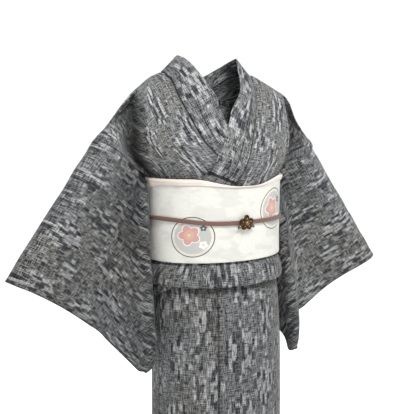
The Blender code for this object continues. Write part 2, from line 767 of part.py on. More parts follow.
def drum_tail(group):
    """Tail of the drum knot."""
    columns = 8
    half = TAIL_WIDTH / 2

    def place(i, j):
        x = -half + TAIL_WIDTH * i / columns
        return drum_line(TAIL, j, x, half, 0.006)

    material = cloth_material("Drum tail", IVORY, 0.65)
    return grid_sheet("obi_tail", columns, len(TAIL) - 1, place, OBI_CLOTH, material, group)


def hand_depth(x):
    """Depth of the drum hand, its ends bent forwards."""
    past = max(0.0, abs(x) - 0.150)
    return 0.1495 - 0.006 * (x / 0.150) ** 2 - 30.0 * past ** 2


def drum_hand(group):
    """Hand of the belt passed through the drum, its ends show at both sides."""
    rows = (-0.315, -0.343, -0.372, -0.400)

    def place(i, j):
        x = HAND_X[i]
        return np.array((x, hand_depth(x), rows[j]))

    material = cloth_material("Drum hand", IVORY, 0.65)
    return grid_sheet("obi_hand", len(HAND_X) - 1, len(rows) - 1, place, OBI_CLOTH, material, group)


def folded_step(i):
    """Step from the front middle, 0 to 24, and the side it is on."""
    step = i % RING_STEPS
    if step <= RING_STEPS // 2:
        return step, 1.0
    return RING_STEPS - step, -1.0


def tube_ring(name, title, colour, roughness, spot, around, group):
    """Closed ring with an oval section."""

    def place(i, j):
        turn = 2 * math.pi * (j % around) / around
        return spot(i, math.cos(turn), math.sin(turn))

    material = cloth_material(title, colour, roughness)
    return grid_sheet(name, RING_STEPS, around, place, 0.0, material, group, True)


def level_out(before, after):
    """Level direction to the right of a path seen from above."""
    way = unit(np.array((after[0] - before[0], after[1] - before[1], 0.0)))
    return np.array((way[1], -way[0], 0.0))


def obiage(group):
    """Sash tucked in above the belt, risen behind under the top of the drum."""

    def behind(step):
        return np.array([table(SASH_BACK, step, k) for k in (1, 2, 3)])

    def spot(i, out, up):
        step, sign = folded_step(i)
        deg = sign * 360.0 * step / RING_STEPS
        away = abs(deg - 8)
        dip = 1 - smooth(away, 8, 55)
        across = 0.0040 - 0.0012 * (1 - smooth(away, 45, 60))
        along = 0.0018 + 0.0066 * smooth(away, 8, 50)
        if step <= 12:
            z = -0.2258 - 0.0066 * dip + along * up
            off = 0.0143 + 0.0012 * (1 - smooth(abs(deg + 14), 34, 50)) + across * (1 + out)
            return form(deg, z, off)
        outward = level_out(behind(step - 0.5), behind(min(step + 0.5, 24.0)))
        if step == 24:
            outward = np.array((0.0, 1.0, 0.0))
        point = behind(step) + outward * across * out
        point[2] += along * up
        point[0] *= sign
        return point

    return tube_ring("obiage", "Sash", PINK, 0.7, spot, 7, group)


def cord_centre(step):
    """Middle line of the cord from the front to the back, on the wearer's left."""
    clear = OFF_OBI + OBI_CLOTH / 2 + 0.0024
    side = form(90.0, CORD_Z, clear)
    if step <= 12:
        point = form(360.0 * step / RING_STEPS, CORD_Z, clear)
    elif step >= 16:
        x = CORD_HAND[step - 16]
        before = np.array((x - 0.0005, hand_depth(x - 0.0005)))
        after = np.array((x + 0.0005, hand_depth(x + 0.0005)))
        way = unit(after - before)
        lift = OBI_CLOTH / 2 + 0.0018 + 0.0005
        point = np.array((x - way[1] * lift, hand_depth(x) + way[0] * lift, CORD_Z))
    else:
        last = cord_centre(16)
        share = CORD_SIDE[step - 12]
        point = side + (last - side) * share
    point[2] = CORD_Z - 0.020 * smooth(step, 12, 20)
    return point


def obijime(group):
    """Flat cord round the belt, over the hand inside the drum."""

    def spot(i, out, up):
        step, sign = folded_step(i)
        point = cord_centre(step)
        if step <= 12:
            outward = form_normal(360.0 * step / RING_STEPS, CORD_Z)
        elif step == 24:
            outward = np.array((0.0, 1.0, 0.0))
        else:
            outward = level_out(cord_centre(step - 1), cord_centre(step + 1))
        point = point + outward * 0.0018 * out
        point[2] += 0.0045 * up
        point[0] *= sign
        return point

    return tube_ring("obijime", "Cord", BROWN, 0.6, spot, 6, group)


def obidome(group):
    """Small ornament threaded on the cord in front."""
    deg = 1.0
    item = make_object("obidome", cloth_material("Ornament", BRONZE, 0.4), group)
    out = form_normal(deg, CORD_Z)
    middle = form(deg, CORD_Z, OFF_OBI + OBI_CLOTH / 2 + 0.0024 + 0.0018 + 0.0004)
    sideways = np.array((-out[1], out[0], 0.0))
    mesh = bmesh.new()
    bmesh.ops.create_uvsphere(mesh, u_segments=20, v_segments=8, radius=1.0)
    for vert in mesh.verts:
        turn = math.atan2(vert.co.y, vert.co.x)
        reach = 1.0 + 0.07 * math.cos(5 * turn)
        across = ORNAMENT_HALF_WIDTH * reach * vert.co.x
        high = ORNAMENT_HALF_HEIGHT * reach * vert.co.y
        lift = max(vert.co.z, -0.45) * 0.0045 + 0.0045 * 0.45
        spot = middle + sideways * across + out * (lift - 2.4 * across ** 2)
        spot[2] = CORD_Z + high
        vert.co = spot
    mesh.to_mesh(item.data)
    mesh.free()
    return item


def clear_scene():
    """Start from nothing."""
    for item in list(bpy.data.objects):
        bpy.data.objects.remove(item, do_unlink=True)


def build():
    """All pieces of the garment."""
    clear_scene()
    group = bpy.data.collections.new("tsumugi_kimono")
    bpy.context.scene.collection.children.link(group)
    gap = 0.10
    skirt_strip("skirt_back_left", SIDE_DEG + gap, 180 - gap, 8, OFF_SKIRT_IN, "Skirt back left", group)
    skirt_strip("skirt_back_right", 180 + gap, 360 - SIDE_DEG - gap, 8, OFF_SKIRT_IN, "Skirt back right", group)
    skirt_strip("skirt_front_right", -SIDE_DEG + gap, OKUMI_DEG - gap, 12, OFF_SKIRT_IN, "Skirt front right", group)
    skirt_strip("okumi_right", OKUMI_DEG + gap, OKUMI_EDGE_DEG, 6, OFF_SKIRT_IN, "Overlap right", group)
    skirt_strip("skirt_front_left", SIDE_DEG - gap, -OKUMI_DEG + gap, 12, OFF_SKIRT_OUT, "Skirt front left", group)
    skirt_strip("okumi_left", -OKUMI_DEG - gap, -OKUMI_EDGE_DEG, 6, OFF_SKIRT_OUT, "Overlap left", group)
    body_panel("left", group)
    body_panel("right", group)
    upper_okumi("right", group)
    upper_okumi("left", group)
    collar_tail(group)
    low_stop = 0.3 + 0.7 * FRONT_ROWS[-3]
    neck = [-t for t in reversed(COLLAR_T) if t < low_stop]
    neck = [-low_stop] + neck[:-1] + [t for t in COLLAR_T if t < low_stop] + [low_stop]
    collar_piece("collar_cover", "Collar cover", neck, group)
    ends = [low_stop + 0.005, 0.3 + 0.7 * FRONT_ROWS[-2], 1.0]
    collar_piece("collar_end_left", "Collar end left", ends, group)
    collar_piece("collar_end_right", "Collar end right", [-t for t in ends], group)
    sleeve("left", group)
    sleeve("right", group)
    obi_ring(group)
    drum(group)
    drum_tail(group)
    drum_hand(group)
    obiage(group)
    obijime(group)
    obidome(group)


build()
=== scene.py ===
"""Looks of a worn tsumugi kimono with its belt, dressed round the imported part."""
import math

import bpy
import numpy as np
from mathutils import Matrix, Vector


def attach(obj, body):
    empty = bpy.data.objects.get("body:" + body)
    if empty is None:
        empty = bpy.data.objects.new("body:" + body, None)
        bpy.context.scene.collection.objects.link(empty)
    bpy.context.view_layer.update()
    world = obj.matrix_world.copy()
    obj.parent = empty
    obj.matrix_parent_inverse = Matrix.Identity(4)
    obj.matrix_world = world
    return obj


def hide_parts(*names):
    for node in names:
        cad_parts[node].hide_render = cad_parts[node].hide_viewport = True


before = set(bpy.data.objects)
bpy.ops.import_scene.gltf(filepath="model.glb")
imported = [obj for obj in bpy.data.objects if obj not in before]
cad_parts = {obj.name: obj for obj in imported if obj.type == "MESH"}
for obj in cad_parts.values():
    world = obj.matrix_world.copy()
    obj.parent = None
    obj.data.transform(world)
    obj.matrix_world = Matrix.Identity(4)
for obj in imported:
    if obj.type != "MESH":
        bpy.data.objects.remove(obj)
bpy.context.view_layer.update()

# Picture: its side in pixels and the camera that took it
IMAGE_SIDE = 414
CAMERA_TURN_DEG = 27.7
CAMERA_TILT_DEG = 5.4
CAMERA_AWAY = 1.617
CAMERA_ASIDE = -0.0145
CAMERA_Z = -0.087
FOCAL_PIXELS = 737.3
PICTURE_SHIFT_UP = -0.053
SENSOR = 36.0

# Sizes in metres, the garment faces the negative Y side
CLOTH_SHOWN = 0.0008
OBI_CLOTH = 0.0030
SEAM_GAP = 0.0005
TURNED_EDGE = 0.0020
WAIST_Z = -0.285
OBI_TOP_Z = -0.235
OBI_LOW_Z = -0.390
HEM_Z = -1.330
SIDE_DEG = 100.0
OKUMI_DEG = 20.0
OKUMI_EDGE_DEG = 80.0
OVERFOLD_EDGE_DEG = 66.0
PANEL_WIDTH = 0.300
SLEEVE_WIDTH = 0.330
SLEEVE_DEPTH = 0.400
CUFF_OPEN = 0.230
SLEEVE_CORNER = 0.028
SLEEVE_RADIUS = 0.040
BAG_HALF_GAP = 0.0055
DRUM_WIDTH = 0.300
TAIL_WIDTH = 0.296
CORD_Z = -0.312
FLOOR_Z = HEM_Z - 0.030

# Distance of each layer from the inner form
OFF_SKIRT_IN = 0.0020
OFF_SKIRT_OUT = 0.0042
OFF_BODY = 0.0065
OFF_BODY_TOP = 0.0115
OFF_COLLAR = 0.0072
OFF_COLLAR_TOP = 0.0129
OFF_OBI = 0.0171
# Share of the width at the neck's corner and stop of the collar there
SHOULDER_SHARE = 0.35
SHOULDER_STOP = 0.30
# Height shares between which the left front comes to lie over the right one
TOP_FRONT_LIES = (0.08, 0.42)

# Inner form: height, half width, depth in front, depth behind, centre
FORM = (
    (0.060, 0.120, 0.060, 0.080, 0.0),
    (0.000, 0.160, 0.072, 0.098, 0.0),
    (-0.050, 0.186, 0.086, 0.106, 0.0),
    (-0.100, 0.182, 0.105, 0.108, 0.0),
    (-0.150, 0.170, 0.112, 0.106, 0.0),
    (-0.195, 0.151, 0.107, 0.101, 0.0),
    (-0.215, 0.1405, 0.1005, 0.0980, 0.0),
    (-0.235, 0.1378, 0.0978, 0.0965, 0.0),
    (-0.285, 0.137, 0.097, 0.096, 0.0),
    (-0.390, 0.137, 0.097, 0.096, 0.0),
    (-0.420, 0.140, 0.101, 0.098, -0.003),
    (-0.480, 0.143, 0.106, 0.101, -0.009),
    (-0.600, 0.147, 0.108, 0.105, -0.014),
    (-0.900, 0.148, 0.108, 0.105, -0.015),
    (-1.400, 0.142, 0.105, 0.102, -0.015),
)

# Shoulder ridge: share of the width, x, y, height
RIDGE_LEFT = (
    (0.00, 0.000, 0.036, 0.000),
    (0.35, 0.108, 0.038, -0.002),
    (0.50, 0.150, 0.020, -0.026),
    (0.65, 0.187, 0.000, -0.056),
    (0.82, 0.209, 0.000, -0.106),
    (1.00, 0.252, 0.000, -0.1635),
)
RIDGE_RIGHT = (
    (0.00, 0.000, 0.036, 0.000),
    (0.35, 0.108, 0.038, -0.002),
    (0.50, 0.153, 0.020, -0.023),
    (0.65, 0.195, 0.000, -0.053),
    (0.82, 0.232, 0.000, -0.092),
    (1.00, 0.271, 0.000, -0.136),
)

# Collar seam on each front: share of the height, share of the width
SEAM_LEFT = (
    (0.00, 0.350), (0.20, 0.315), (0.38, 0.262), (0.60, 0.160),
    (0.78, 0.060), (0.90, -0.050), (1.00, -0.200),
)
SEAM_RIGHT = (
    (0.00, 0.350), (0.20, 0.335), (0.38, 0.315), (0.60, 0.262),
    (0.70, 0.200), (0.90, -0.050), (1.00, -0.200),
)
NECK_BACK = 0.400

# Sleeve: height, valley x, valley y, ridge x, ridge y, all at the folds
FOLDS_RIGHT = (
    (-0.180, 0.158, 0.012, 0.170, -0.010),
    (-0.235, 0.182, 0.020, 0.173, -0.030),
    (-0.300, 0.209, 0.028, 0.176, -0.043),
    (-0.385, 0.239, 0.035, 0.179, -0.060),
    (-0.450, 0.249, 0.039, 0.181, -0.072),
    (-0.550, 0.256, 0.043, 0.183, -0.086),
    (-0.585, 0.258, 0.044, 0.185, -0.088),
    (-0.630, 0.260, 0.045, 0.200, -0.060),
    (-0.700, 0.262, 0.045, 0.204, -0.050),
)
FOLDS_LEFT = (
    (-0.180, 0.151, 0.012, 0.162, -0.006),
    (-0.250, 0.181, 0.020, 0.164, -0.014),
    (-0.300, 0.202, 0.028, 0.167, -0.020),
    (-0.385, 0.232, 0.035, 0.171, -0.036),
    (-0.450, 0.242, 0.039, 0.174, -0.055),
    (-0.550, 0.249, 0.043, 0.175, -0.076),
    (-0.585, 0.251, 0.044, 0.175, -0.078),
    (-0.630, 0.253, 0.045, 0.184, -0.064),
    (-0.700, 0.255, 0.045, 0.188, -0.054),
)
# Inner edge of the collar in front: stop, x, y, height, y only while it stands free
INNER_LEFT = (
    (0.30, 0.068, 0.022, 0.040), (0.40, 0.061, 0.004, 0.024), (0.50, 0.050, -0.022, 0.002),
    (0.60, 0.035, -0.055, -0.028), (0.70, 0.010, -0.086, -0.068), (0.80, -0.024, -0.105, -0.128),
    (0.90, -0.064, -0.100, -0.195), (1.00, -0.112, -0.085, -0.262),
)
INNER_RIGHT = (
    (0.30, 0.075, 0.026, 0.042), (0.40, 0.0630, 0.008, 0.033), (0.50, 0.050, -0.018, 0.009),
    (0.60, 0.037, -0.055, -0.030), (0.70, 0.022, -0.088, -0.070), (0.80, 0.001, -0.105, -0.130),
    (0.90, -0.040, -0.100, -0.198), (1.00, -0.088, -0.085, -0.262),
)
SIDES = {
    "left": {
        "sign": 1.0, "seam": SEAM_LEFT, "ridge": RIDGE_LEFT, "folds": FOLDS_LEFT,
        "top": (0.256, -0.160), "cuff": (0.459, -0.443), "low_drop": 0.70, "inner": INNER_LEFT,
    },
    "right": {
        "sign": -1.0, "seam": SEAM_RIGHT, "ridge": RIDGE_RIGHT, "folds": FOLDS_RIGHT,
        "top": (0.271, -0.136), "cuff": (0.457, -0.410), "low_drop": 0.88, "inner": INNER_RIGHT,
    },
}


def table(rows, key, column):
    """Smooth value of one column of a table at a key."""
    keys = [row[0] for row in rows]
    values = [row[column] for row in rows]
    if keys[0] > keys[-1]:
        keys.reverse()
        values.reverse()
    key = min(max(key, keys[0]), keys[-1])
    i = 0
    while i < len(keys) - 2 and key > keys[i + 1]:
        i += 1
    step = keys[i + 1] - keys[i]
    t = (key - keys[i]) / step
    slope = (values[i + 1] - values[i]) / step
    before = slope
    after = slope
    if i > 0:
        before = (values[i + 1] - values[i - 1]) / (keys[i + 1] - keys[i - 1])
    if i < len(keys) - 2:
        after = (values[i + 2] - values[i]) / (keys[i + 2] - keys[i])
    h00 = (1 + 2 * t) * (1 - t) ** 2
    h10 = t * (1 - t) ** 2
    h01 = t * t * (3 - 2 * t)
    h11 = t * t * (t - 1)
    return h00 * values[i] + h10 * step * before + h01 * values[i + 1] + h11 * step * after


def point_at(rows, key):
    """Smooth point of a table of x, y and height at a key."""
    return np.array([table(rows, key, column) for column in (1, 2, 3)])


def spaced(first, last, count):
    """Evenly spaced values, both ends included."""
    return [first + (last - first) * k / count for k in range(count + 1)]


def smooth(value, low, high):
    """Soft step from 0 at low to 1 at high."""
    t = min(max((value - low) / (high - low), 0.0), 1.0)
    return t * t * (3 - 2 * t)


def unit(vector):
    """Vector of length one."""
    return vector / max(np.linalg.norm(vector), 1e-12)


def form_size(deg, z):
    """Half width and depth of the inner form at one turn and height."""
    return table(FORM, z, 1), table(FORM, z, 2 if math.cos(math.radians(deg)) >= 0 else 3)


def form_normal(deg, z):
    """Outward direction of the inner form, level."""
    half, depth = form_size(deg, z)
    turn = math.radians(deg)
    return unit(np.array((math.sin(turn) / half, -math.cos(turn) / depth, 0.0)))


def form(deg, z, off):
    """Point of the inner form, 0 degrees in front and 90 on the garment's left."""
    half, depth = form_size(deg, z)
    turn = math.radians(deg)
    point = np.array((half * math.sin(turn), table(FORM, z, 4) - depth * math.cos(turn), z))
    return point + off * form_normal(deg, z)


# Depth below the neck between which the cloth settles on the inner form
SETTLES = (0.150, 0.213)
SLANT = 0.45
BACK_FULLNESS = 0.10


def trunk(side, share, height, off, behind):
    """Chest or back surface between the shoulder ridge and the waist."""
    mirror = -1.0 if share < 0 else 1.0
    share = abs(share)
    top = point_at(SIDES[side]["ridge"], share)
    turn = math.pi / 2 * height
    z = top[2] - (top[2] - WAIST_Z) * (1 - math.cos(turn))
    near = math.sin(turn)
    near = near + (1 - near) * smooth(-z, *SETTLES)
    deg = SIDE_DEG * share
    if behind:
        deg = 180 - (180 - SIDE_DEG) * share
        near = max(near, 1e-9) ** (BACK_FULLNESS + (1 - BACK_FULLNESS) * smooth(share, 0.0, 0.65))
    point = top + (form(deg, z, 0.0) - top) * near
    point[2] = z
    up = np.array((SLANT * smooth(share, 0.1, 0.5), 0.0, 2 * SLANT))
    normal = unit(form_normal(deg, z) * near + up * (1 - near))
    point = point + off * normal
    point[0] *= mirror
    normal[0] *= mirror
    return point, normal


SEARCH_ROUNDS = 30
WIDEST_SHARE = 0.6


def chest_point(side, x, z, off):
    """Point of the chest surface over a given x and height."""
    height = 2 / math.pi * math.acos(min(max(1 - min(z, 0.0) / WAIST_Z, -1.0), 1.0))
    low = -WIDEST_SHARE
    high = WIDEST_SHARE
    for _ in range(SEARCH_ROUNDS):
        mid = (low + high) / 2
        if trunk(side, mid, height, off, False)[0][0] < x:
            low = mid
        else:
            high = mid
    return trunk(side, (low + high) / 2, height, off, False)[0]


FOLD_SHORTENED = 0.012
LEAN_MOST = 0.30
NEAREST_FOLD = 0.020
BEND_IN = 0.030
BEND_OUT = 0.026
BACK_TURN = math.radians(-80.0)
PATH_STEPS = 240


def sleeve_line(side):
    """Inner and outer end of the sleeve's upper line, and its level run for each metre of fall."""
    top = SIDES[side]["top"]
    cuff = SIDES[side]["cuff"]
    return np.array(top), np.array(cuff), (cuff[0] - top[0]) / (top[1] - cuff[1])


def sleeve_path(side, z, start, run):
    """Plan position and heading along one level row of the folded sleeve."""
    rows = SIDES[side]["folds"]
    valley_x, valley_y, crest_x, crest_y = [table(rows, z, column) for column in (1, 2, 3, 4)]
    first = math.hypot(start - valley_x, valley_y)
    second = first + math.hypot(crest_x - valley_x, crest_y - valley_y) - FOLD_SHORTENED
    lean = min(math.atan2(valley_y, max(start - valley_x, NEAREST_FOLD)), LEAN_MOST)
    turn = math.atan2(valley_y - crest_y, valley_x - crest_x)
    steps = np.linspace(0.0, max(run, 1e-6), PATH_STEPS)

    def ramp(centre, width):
        t = np.clip((steps - centre) / width + 0.5, 0.0, 1.0)
        return t * t * (3 - 2 * t)

    heading = -lean + (turn + lean) * ramp(first, BEND_IN) + (BACK_TURN - turn) * ramp(second, BEND_OUT)
    ds = steps[1] - steps[0]
    dx = -np.cos(heading)
    dy = -np.sin(heading)
    x = start + ds * (dx.sum() - (dx[0] + dx[-1]) / 2)
    y = ds * (dy.sum() - (dy[0] + dy[-1]) / 2)
    return x, y, heading[-1], max(0.0, run - second)


# Least distance of the sleeve from the middle, and how much more it is lower down and behind
CLEAR = 0.135
CLEAR_LOW = 0.0335
CLEAR_BEHIND = (0.004, 0.020)
CLEAR_SOFT = 0.002
CORNER_SINKS = 0.080
CUFF_LIFTS = 0.011


def sleeve_point(side, along, down, offset):
    """Point of the sleeve from its flat place and the distance from its middle."""
    top, cuff, slope = sleeve_line(side)
    way = (cuff - top) / np.linalg.norm(cuff - top)
    low = down
    if down > CUFF_OPEN:
        low = CUFF_OPEN + (down - CUFF_OPEN) * SIDES[side]["low_drop"]
    flat_x = top[0] + way[0] * along + way[1] * down
    z = top[1] + way[1] * along - way[0] * low
    start = min(top[0] + (top[1] - z) * slope, cuff[0])
    run = start - flat_x
    x, y, heading, past = flat_x, 0.0, 0.0, 0.0
    if run >= 0:
        x, y, heading, past = sleeve_path(side, z, start, run)
    sink = CORNER_SINKS * (1 - math.exp(-past / 0.09)) * smooth(-z, 0.22, 0.45)
    clear = CLEAR + CLEAR_LOW * smooth(-z, 0.188, 0.210)
    clear += CLEAR_BEHIND[0] * smooth(y, 0.0, 0.03) + CLEAR_BEHIND[1] * smooth(y, 0.03, 0.11)
    x = max(x, clear) + math.log(1 + math.exp(-abs(x - clear) / CLEAR_SOFT)) * CLEAR_SOFT
    lift = CUFF_LIFTS * (along / SLEEVE_WIDTH) ** 3 * math.sin(math.pi * min(down / 0.27, 1.0))
    point = np.array((x + math.sin(heading) * offset, y - math.cos(heading) * offset, z - sink + lift))
    point[0] *= SIDES[side]["sign"]
    return point


CUFF_NARROWS = 0.008
FLAT_FROM = 0.110
FLAT_FROM_CUFF = 0.055
CLOSED_HALF_GAP = 0.0014


def sleeve_spread(along, down):
    """Half distance between the two walls of the sleeve."""
    outer = along / SLEEVE_WIDTH
    radius = SLEEVE_RADIUS - CUFF_NARROWS * outer
    end = sleeve_end(along)
    if down < radius:
        value = radius * math.sqrt(max(0.0, 1 - (1 - down / radius) ** 2))
    else:
        value = radius + (BAG_HALF_GAP - radius) * smooth(down, radius, FLAT_FROM + FLAT_FROM_CUFF * outer)
    edge = smooth(along, SLEEVE_WIDTH - 0.030, SLEEVE_WIDTH - 0.004)
    closed = edge * smooth(down, CUFF_OPEN - 0.012, CUFF_OPEN + 0.012)
    value = value * (1 - closed) + CLOSED_HALF_GAP * closed
    low = BAG_HALF_GAP * (1 - closed) + CLOSED_HALF_GAP * closed
    if down > end - low:
        value = min(value, low * math.sqrt(max(0.0, 1 - ((down - end + low) / low) ** 2)))
    return value


def sleeve_end(along):
    """Depth of the sleeve at one place across its width, with the round corner."""
    past = max(0.0, along - (SLEEVE_WIDTH - SLEEVE_CORNER))
    return SLEEVE_DEPTH - SLEEVE_CORNER + math.sqrt(max(0.0, SLEEVE_CORNER ** 2 - past ** 2))


def side_edge(side, z, behind):
    """Edge of the body panel along the sleeve seam, then down the side."""
    top, cuff, _ = sleeve_line(side)
    lowest = -0.190 if behind else -0.205
    down = (top[1] - max(min(z, top[1]), lowest)) / ((cuff - top) / np.linalg.norm(cuff - top))[0]
    spread = sleeve_spread(0.0, down)
    gap = 0.0018 + 0.0012 * smooth(down, 0.05, 0.09)
    point = sleeve_point(side, -gap, down, -spread if behind else spread)
    point[0] = abs(point[0])
    deg = SIDE_DEG + (0.3 if behind else -0.3)
    base = form(deg, z, OFF_BODY if behind or side == "right" else OFF_BODY_TOP)
    share = smooth(-z, 0.186, -lowest + 0.013)
    mixed = point * (1 - share) + base * share
    mixed[2] = z
    return mixed


# Overfold at the waist: distance from the form, height
OVERFOLD = (
    (0.0000, -0.330), (0.0000, -0.388), (0.0020, -0.397), (0.0035, -0.408), (0.0038, -0.424),
    (0.0034, -0.4355), (0.0021, -0.4400), (0.0006, -0.4365), (0.0002, -0.427), (0.0002, -0.406),
)
OVERFOLD_FULLNESS = 1.5
OVERFOLD_LIFT = 0.0014
OVERFOLD_DROP = 0.030

# Fold beside the chest: share of the height, share of the width where it starts
VALLEY = {
    "left": ((0.00, 0.60), (0.25, 0.56), (0.45, 0.54), (0.70, 0.62), (0.85, 0.75)),
    "right": ((0.00, 0.56), (0.25, 0.58), (0.45, 0.62), (0.70, 0.76), (0.85, 0.86)),
}
VALLEY_DEPTH = {"left": 0.040, "right": 0.044}
VALLEY_LIP = 0.0035


def body_off(side, height, behind):
    """Layer distance of the body panel above the waist."""
    if side == "right" or behind:
        return OFF_BODY
    return OFF_BODY + (OFF_BODY_TOP - OFF_BODY) * smooth(height, *TOP_FRONT_LIES)


def front_share(side, height):
    """Width share of the collar seam on one front."""
    return table(SIDES[side]["seam"], height, 1)


def back_share(height):
    """Width share of the neck seam and the centre seam behind."""
    if height >= NECK_BACK:
        return 0.0
    return SHOULDER_SHARE * 2 / math.pi * math.acos(height / NECK_BACK)


def panel_spot(side, share, height, behind):
    """Share of the whole width for a share between the collar seam and the side."""
    inner = back_share(height) if behind else front_share(side, height)
    return inner + (1 - inner) * share


def valley_reach(height):
    """Share of the fold beside the chest at a height, nought at both ends."""
    return smooth(height, 0.03, 0.22) * smooth(height, 0.97, 0.80)


def body_panel_point(side, share, height, behind):
    """Body panel above the waist, share 0 at the collar and 1 at the side."""
    spot = panel_spot(side, share, height, behind)
    off = body_off(side, height, behind)
    off = off * (1 - smooth(spot, 0.60, 1.0) * smooth(height, 0.45, 0.15))
    point = trunk(side, spot, height, off, behind)[0]
    last = trunk(side, 1.0, height, off, behind)[0]
    wanted = side_edge(side, last[2], behind)
    point = point + (wanted - last) * max(0.0, (spot - 0.45) / 0.55) ** 2.2
    if not behind:
        edge = table(VALLEY[side], height, 1)
        sunk = smooth(spot, edge, edge + 0.055) * (1 - smooth(spot, edge + 0.09, 1.0))
        lip = math.exp(-((spot - edge + 0.012) / 0.028) ** 2)
        point[1] += (VALLEY_DEPTH[side] * sunk - VALLEY_LIP * lip) * valley_reach(height)
    if behind and height >= NECK_BACK:
        point[0] = point[0] + SEAM_GAP * 0.6 * (1 - share)
    point[0] *= SIDES[side]["sign"]
    return point


def fold_profile(step):
    """Overfold section at a step that need not be whole: distance, height."""
    rows = [(k,) + row for k, row in enumerate(OVERFOLD)]
    return OVERFOLD_FULLNESS * table(rows, step, 1), table(rows, step, 2)


def overfold_point(side, share, step, behind):
    """Body panel under the belt and round the overfold."""
    out, z = fold_profile(step)
    off = OFF_BODY
    if side == "left" and not behind:
        off = OFF_BODY_TOP + OVERFOLD_LIFT * smooth(-z, 0.39, 0.41)
    if behind:
        deg = 180 - (180 - SIDE_DEG) * share
        deg = deg - 0.18 * (1 - share) + 0.3 * share
    else:
        deg = -OKUMI_DEG + (SIDE_DEG + OKUMI_DEG) * share
        deg = deg + 0.12 * (1 - share) - 0.3 * share
    if side == "right":
        z = z - OVERFOLD_DROP * smooth(share, 0.60, 0.95) * smooth(-z, 0.39, 0.42)
    return form(SIDES[side]["sign"] * deg, z, off + out)


COLLAR_BEHIND = (0.126, -0.008)
COLLAR_BELLY = 0.006
COLLAR_START = 0.0009


def collar_seam(side, t):
    """Point of the collar seam and its layer distance, t 0 at the back of the neck."""
    if t <= SHOULDER_STOP:
        part = t / SHOULDER_STOP
        height = NECK_BACK * math.cos(math.pi / 2 * part)
        return trunk(side, SHOULDER_SHARE * part, height, OFF_BODY, True)[0], OFF_BODY
    height = (t - SHOULDER_STOP) / (1 - SHOULDER_STOP)
    top_off = OFF_COLLAR if side == "right" else OFF_COLLAR_TOP
    off = OFF_BODY + (top_off - OFF_BODY) * smooth(height, *TOP_FRONT_LIES)
    return trunk(side, front_share(side, height), height, off, False)[0], off


def collar_point(side, t, across):
    """Collar, t 0 at the back of the neck, 0.3 at the shoulder, 1 under the belt."""
    inner = SIDES[side]["inner"]
    seam, off = collar_seam(side, t)
    edge = point_at(inner, t)
    if t < SHOULDER_STOP:
        corner = point_at(inner, SHOULDER_STOP)
        turn = math.pi / 2 * t / SHOULDER_STOP
        y, z = COLLAR_BEHIND
        edge = np.array((corner[0] * math.sin(turn), corner[1] + (y - corner[1]) * math.cos(turn),
                         z + (corner[2] - z) * smooth(t, 0.0, 0.33)))
    span = edge - seam
    start = COLLAR_START / np.linalg.norm(span)
    point = seam + span * (start + (1 - start) * across)
    lying = smooth(t, 0.62, 0.76)
    if lying > 0:
        flat = chest_point(side, point[0], min(point[2], -0.001), off)
        point[1] = point[1] * (1 - lying) + flat[1] * lying
    if SHOULDER_STOP < t and lying < 1:
        point[1] -= COLLAR_BELLY * math.sin(math.pi * across) * smooth(t, 0.3, 0.5) * (1 - lying)
    point[0] *= SIDES[side]["sign"]
    return point


# Drum knot behind and its tail: depth, height
DRUM = (
    (0.1205, -0.2140), (0.1260, -0.1920), (0.1370, -0.1735), (0.1520, -0.1635), (0.1700, -0.1605),
    (0.1865, -0.1680), (0.1960, -0.1850), (0.1990, -0.2080), (0.1985, -0.2500), (0.1950, -0.3000),
    (0.1890, -0.3500), (0.1810, -0.4000), (0.1760, -0.4240), (0.1700, -0.4350), (0.1610, -0.4390),
    (0.1525, -0.4350), (0.1475, -0.4240), (0.1455, -0.3950), (0.1455, -0.3550),
)
TAIL = (
    (0.1419, -0.3450), (0.1419, -0.3900), (0.1419, -0.4300), (0.1425, -0.4600), (0.1445, -0.5080),
)
DRUM_BOW = 0.006
HAND_HALF = 0.168
HAND_BENDS = 0.150
HAND_Y = 0.1495
HAND_CURVE = 30.0
# Cord behind: plan distance along the free side, then places across the passed end
CORD_SIDE = (0.0, 0.30, 0.60, 0.86)
CORD_HAND = (0.1685, 0.1655, 0.1600, 0.1510, 0.1360, 0.1080, 0.0720, 0.0360, 0.0)
CORD_HALF_WIDTH = 0.0045
CORD_HALF_THICK = 0.0018
CORD_DROP = 0.020
CORD_STEP = 0.0195
# Sash behind: step, x, y, height
SASH_BACK = (
    (12, 0.1560, 0.000, -0.2258), (14, 0.1568, 0.040, -0.2250), (16, 0.1572, 0.085, -0.2080),
    (18, 0.1570, 0.130, -0.1800), (19, 0.1530, 0.149, -0.1742), (20, 0.1420, 0.1565, -0.1732),
    (22, 0.0850, 0.1580, -0.1732), (24, 0.0000, 0.1585, -0.1732),
)
# Steps of the ring that the cord and the sash run in, to the side and to the back
SIDE_STEP = 12
HAND_STEP = 16
BACK_STEP = 24


def drum_point(rows, key, x, half):
    """Point of the drum or its tail with the slight bow across."""
    stepped = [(k,) + row for k, row in enumerate(rows)]
    return np.array((x, table(stepped, key, 1) - DRUM_BOW * (x / half) ** 2, table(stepped, key, 2)))


def hand_depth(x):
    """Depth of the belt end passed through the drum, its own ends bent forwards."""
    past = max(0.0, abs(x) - HAND_BENDS)
    return HAND_Y - DRUM_BOW * (x / HAND_BENDS) ** 2 - HAND_CURVE * past ** 2


def level_out(before, after):
    """Level direction to the right of a path seen from above."""
    way = unit(np.array((after[0] - before[0], after[1] - before[1], 0.0)))
    return np.array((way[1], -way[0], 0.0))


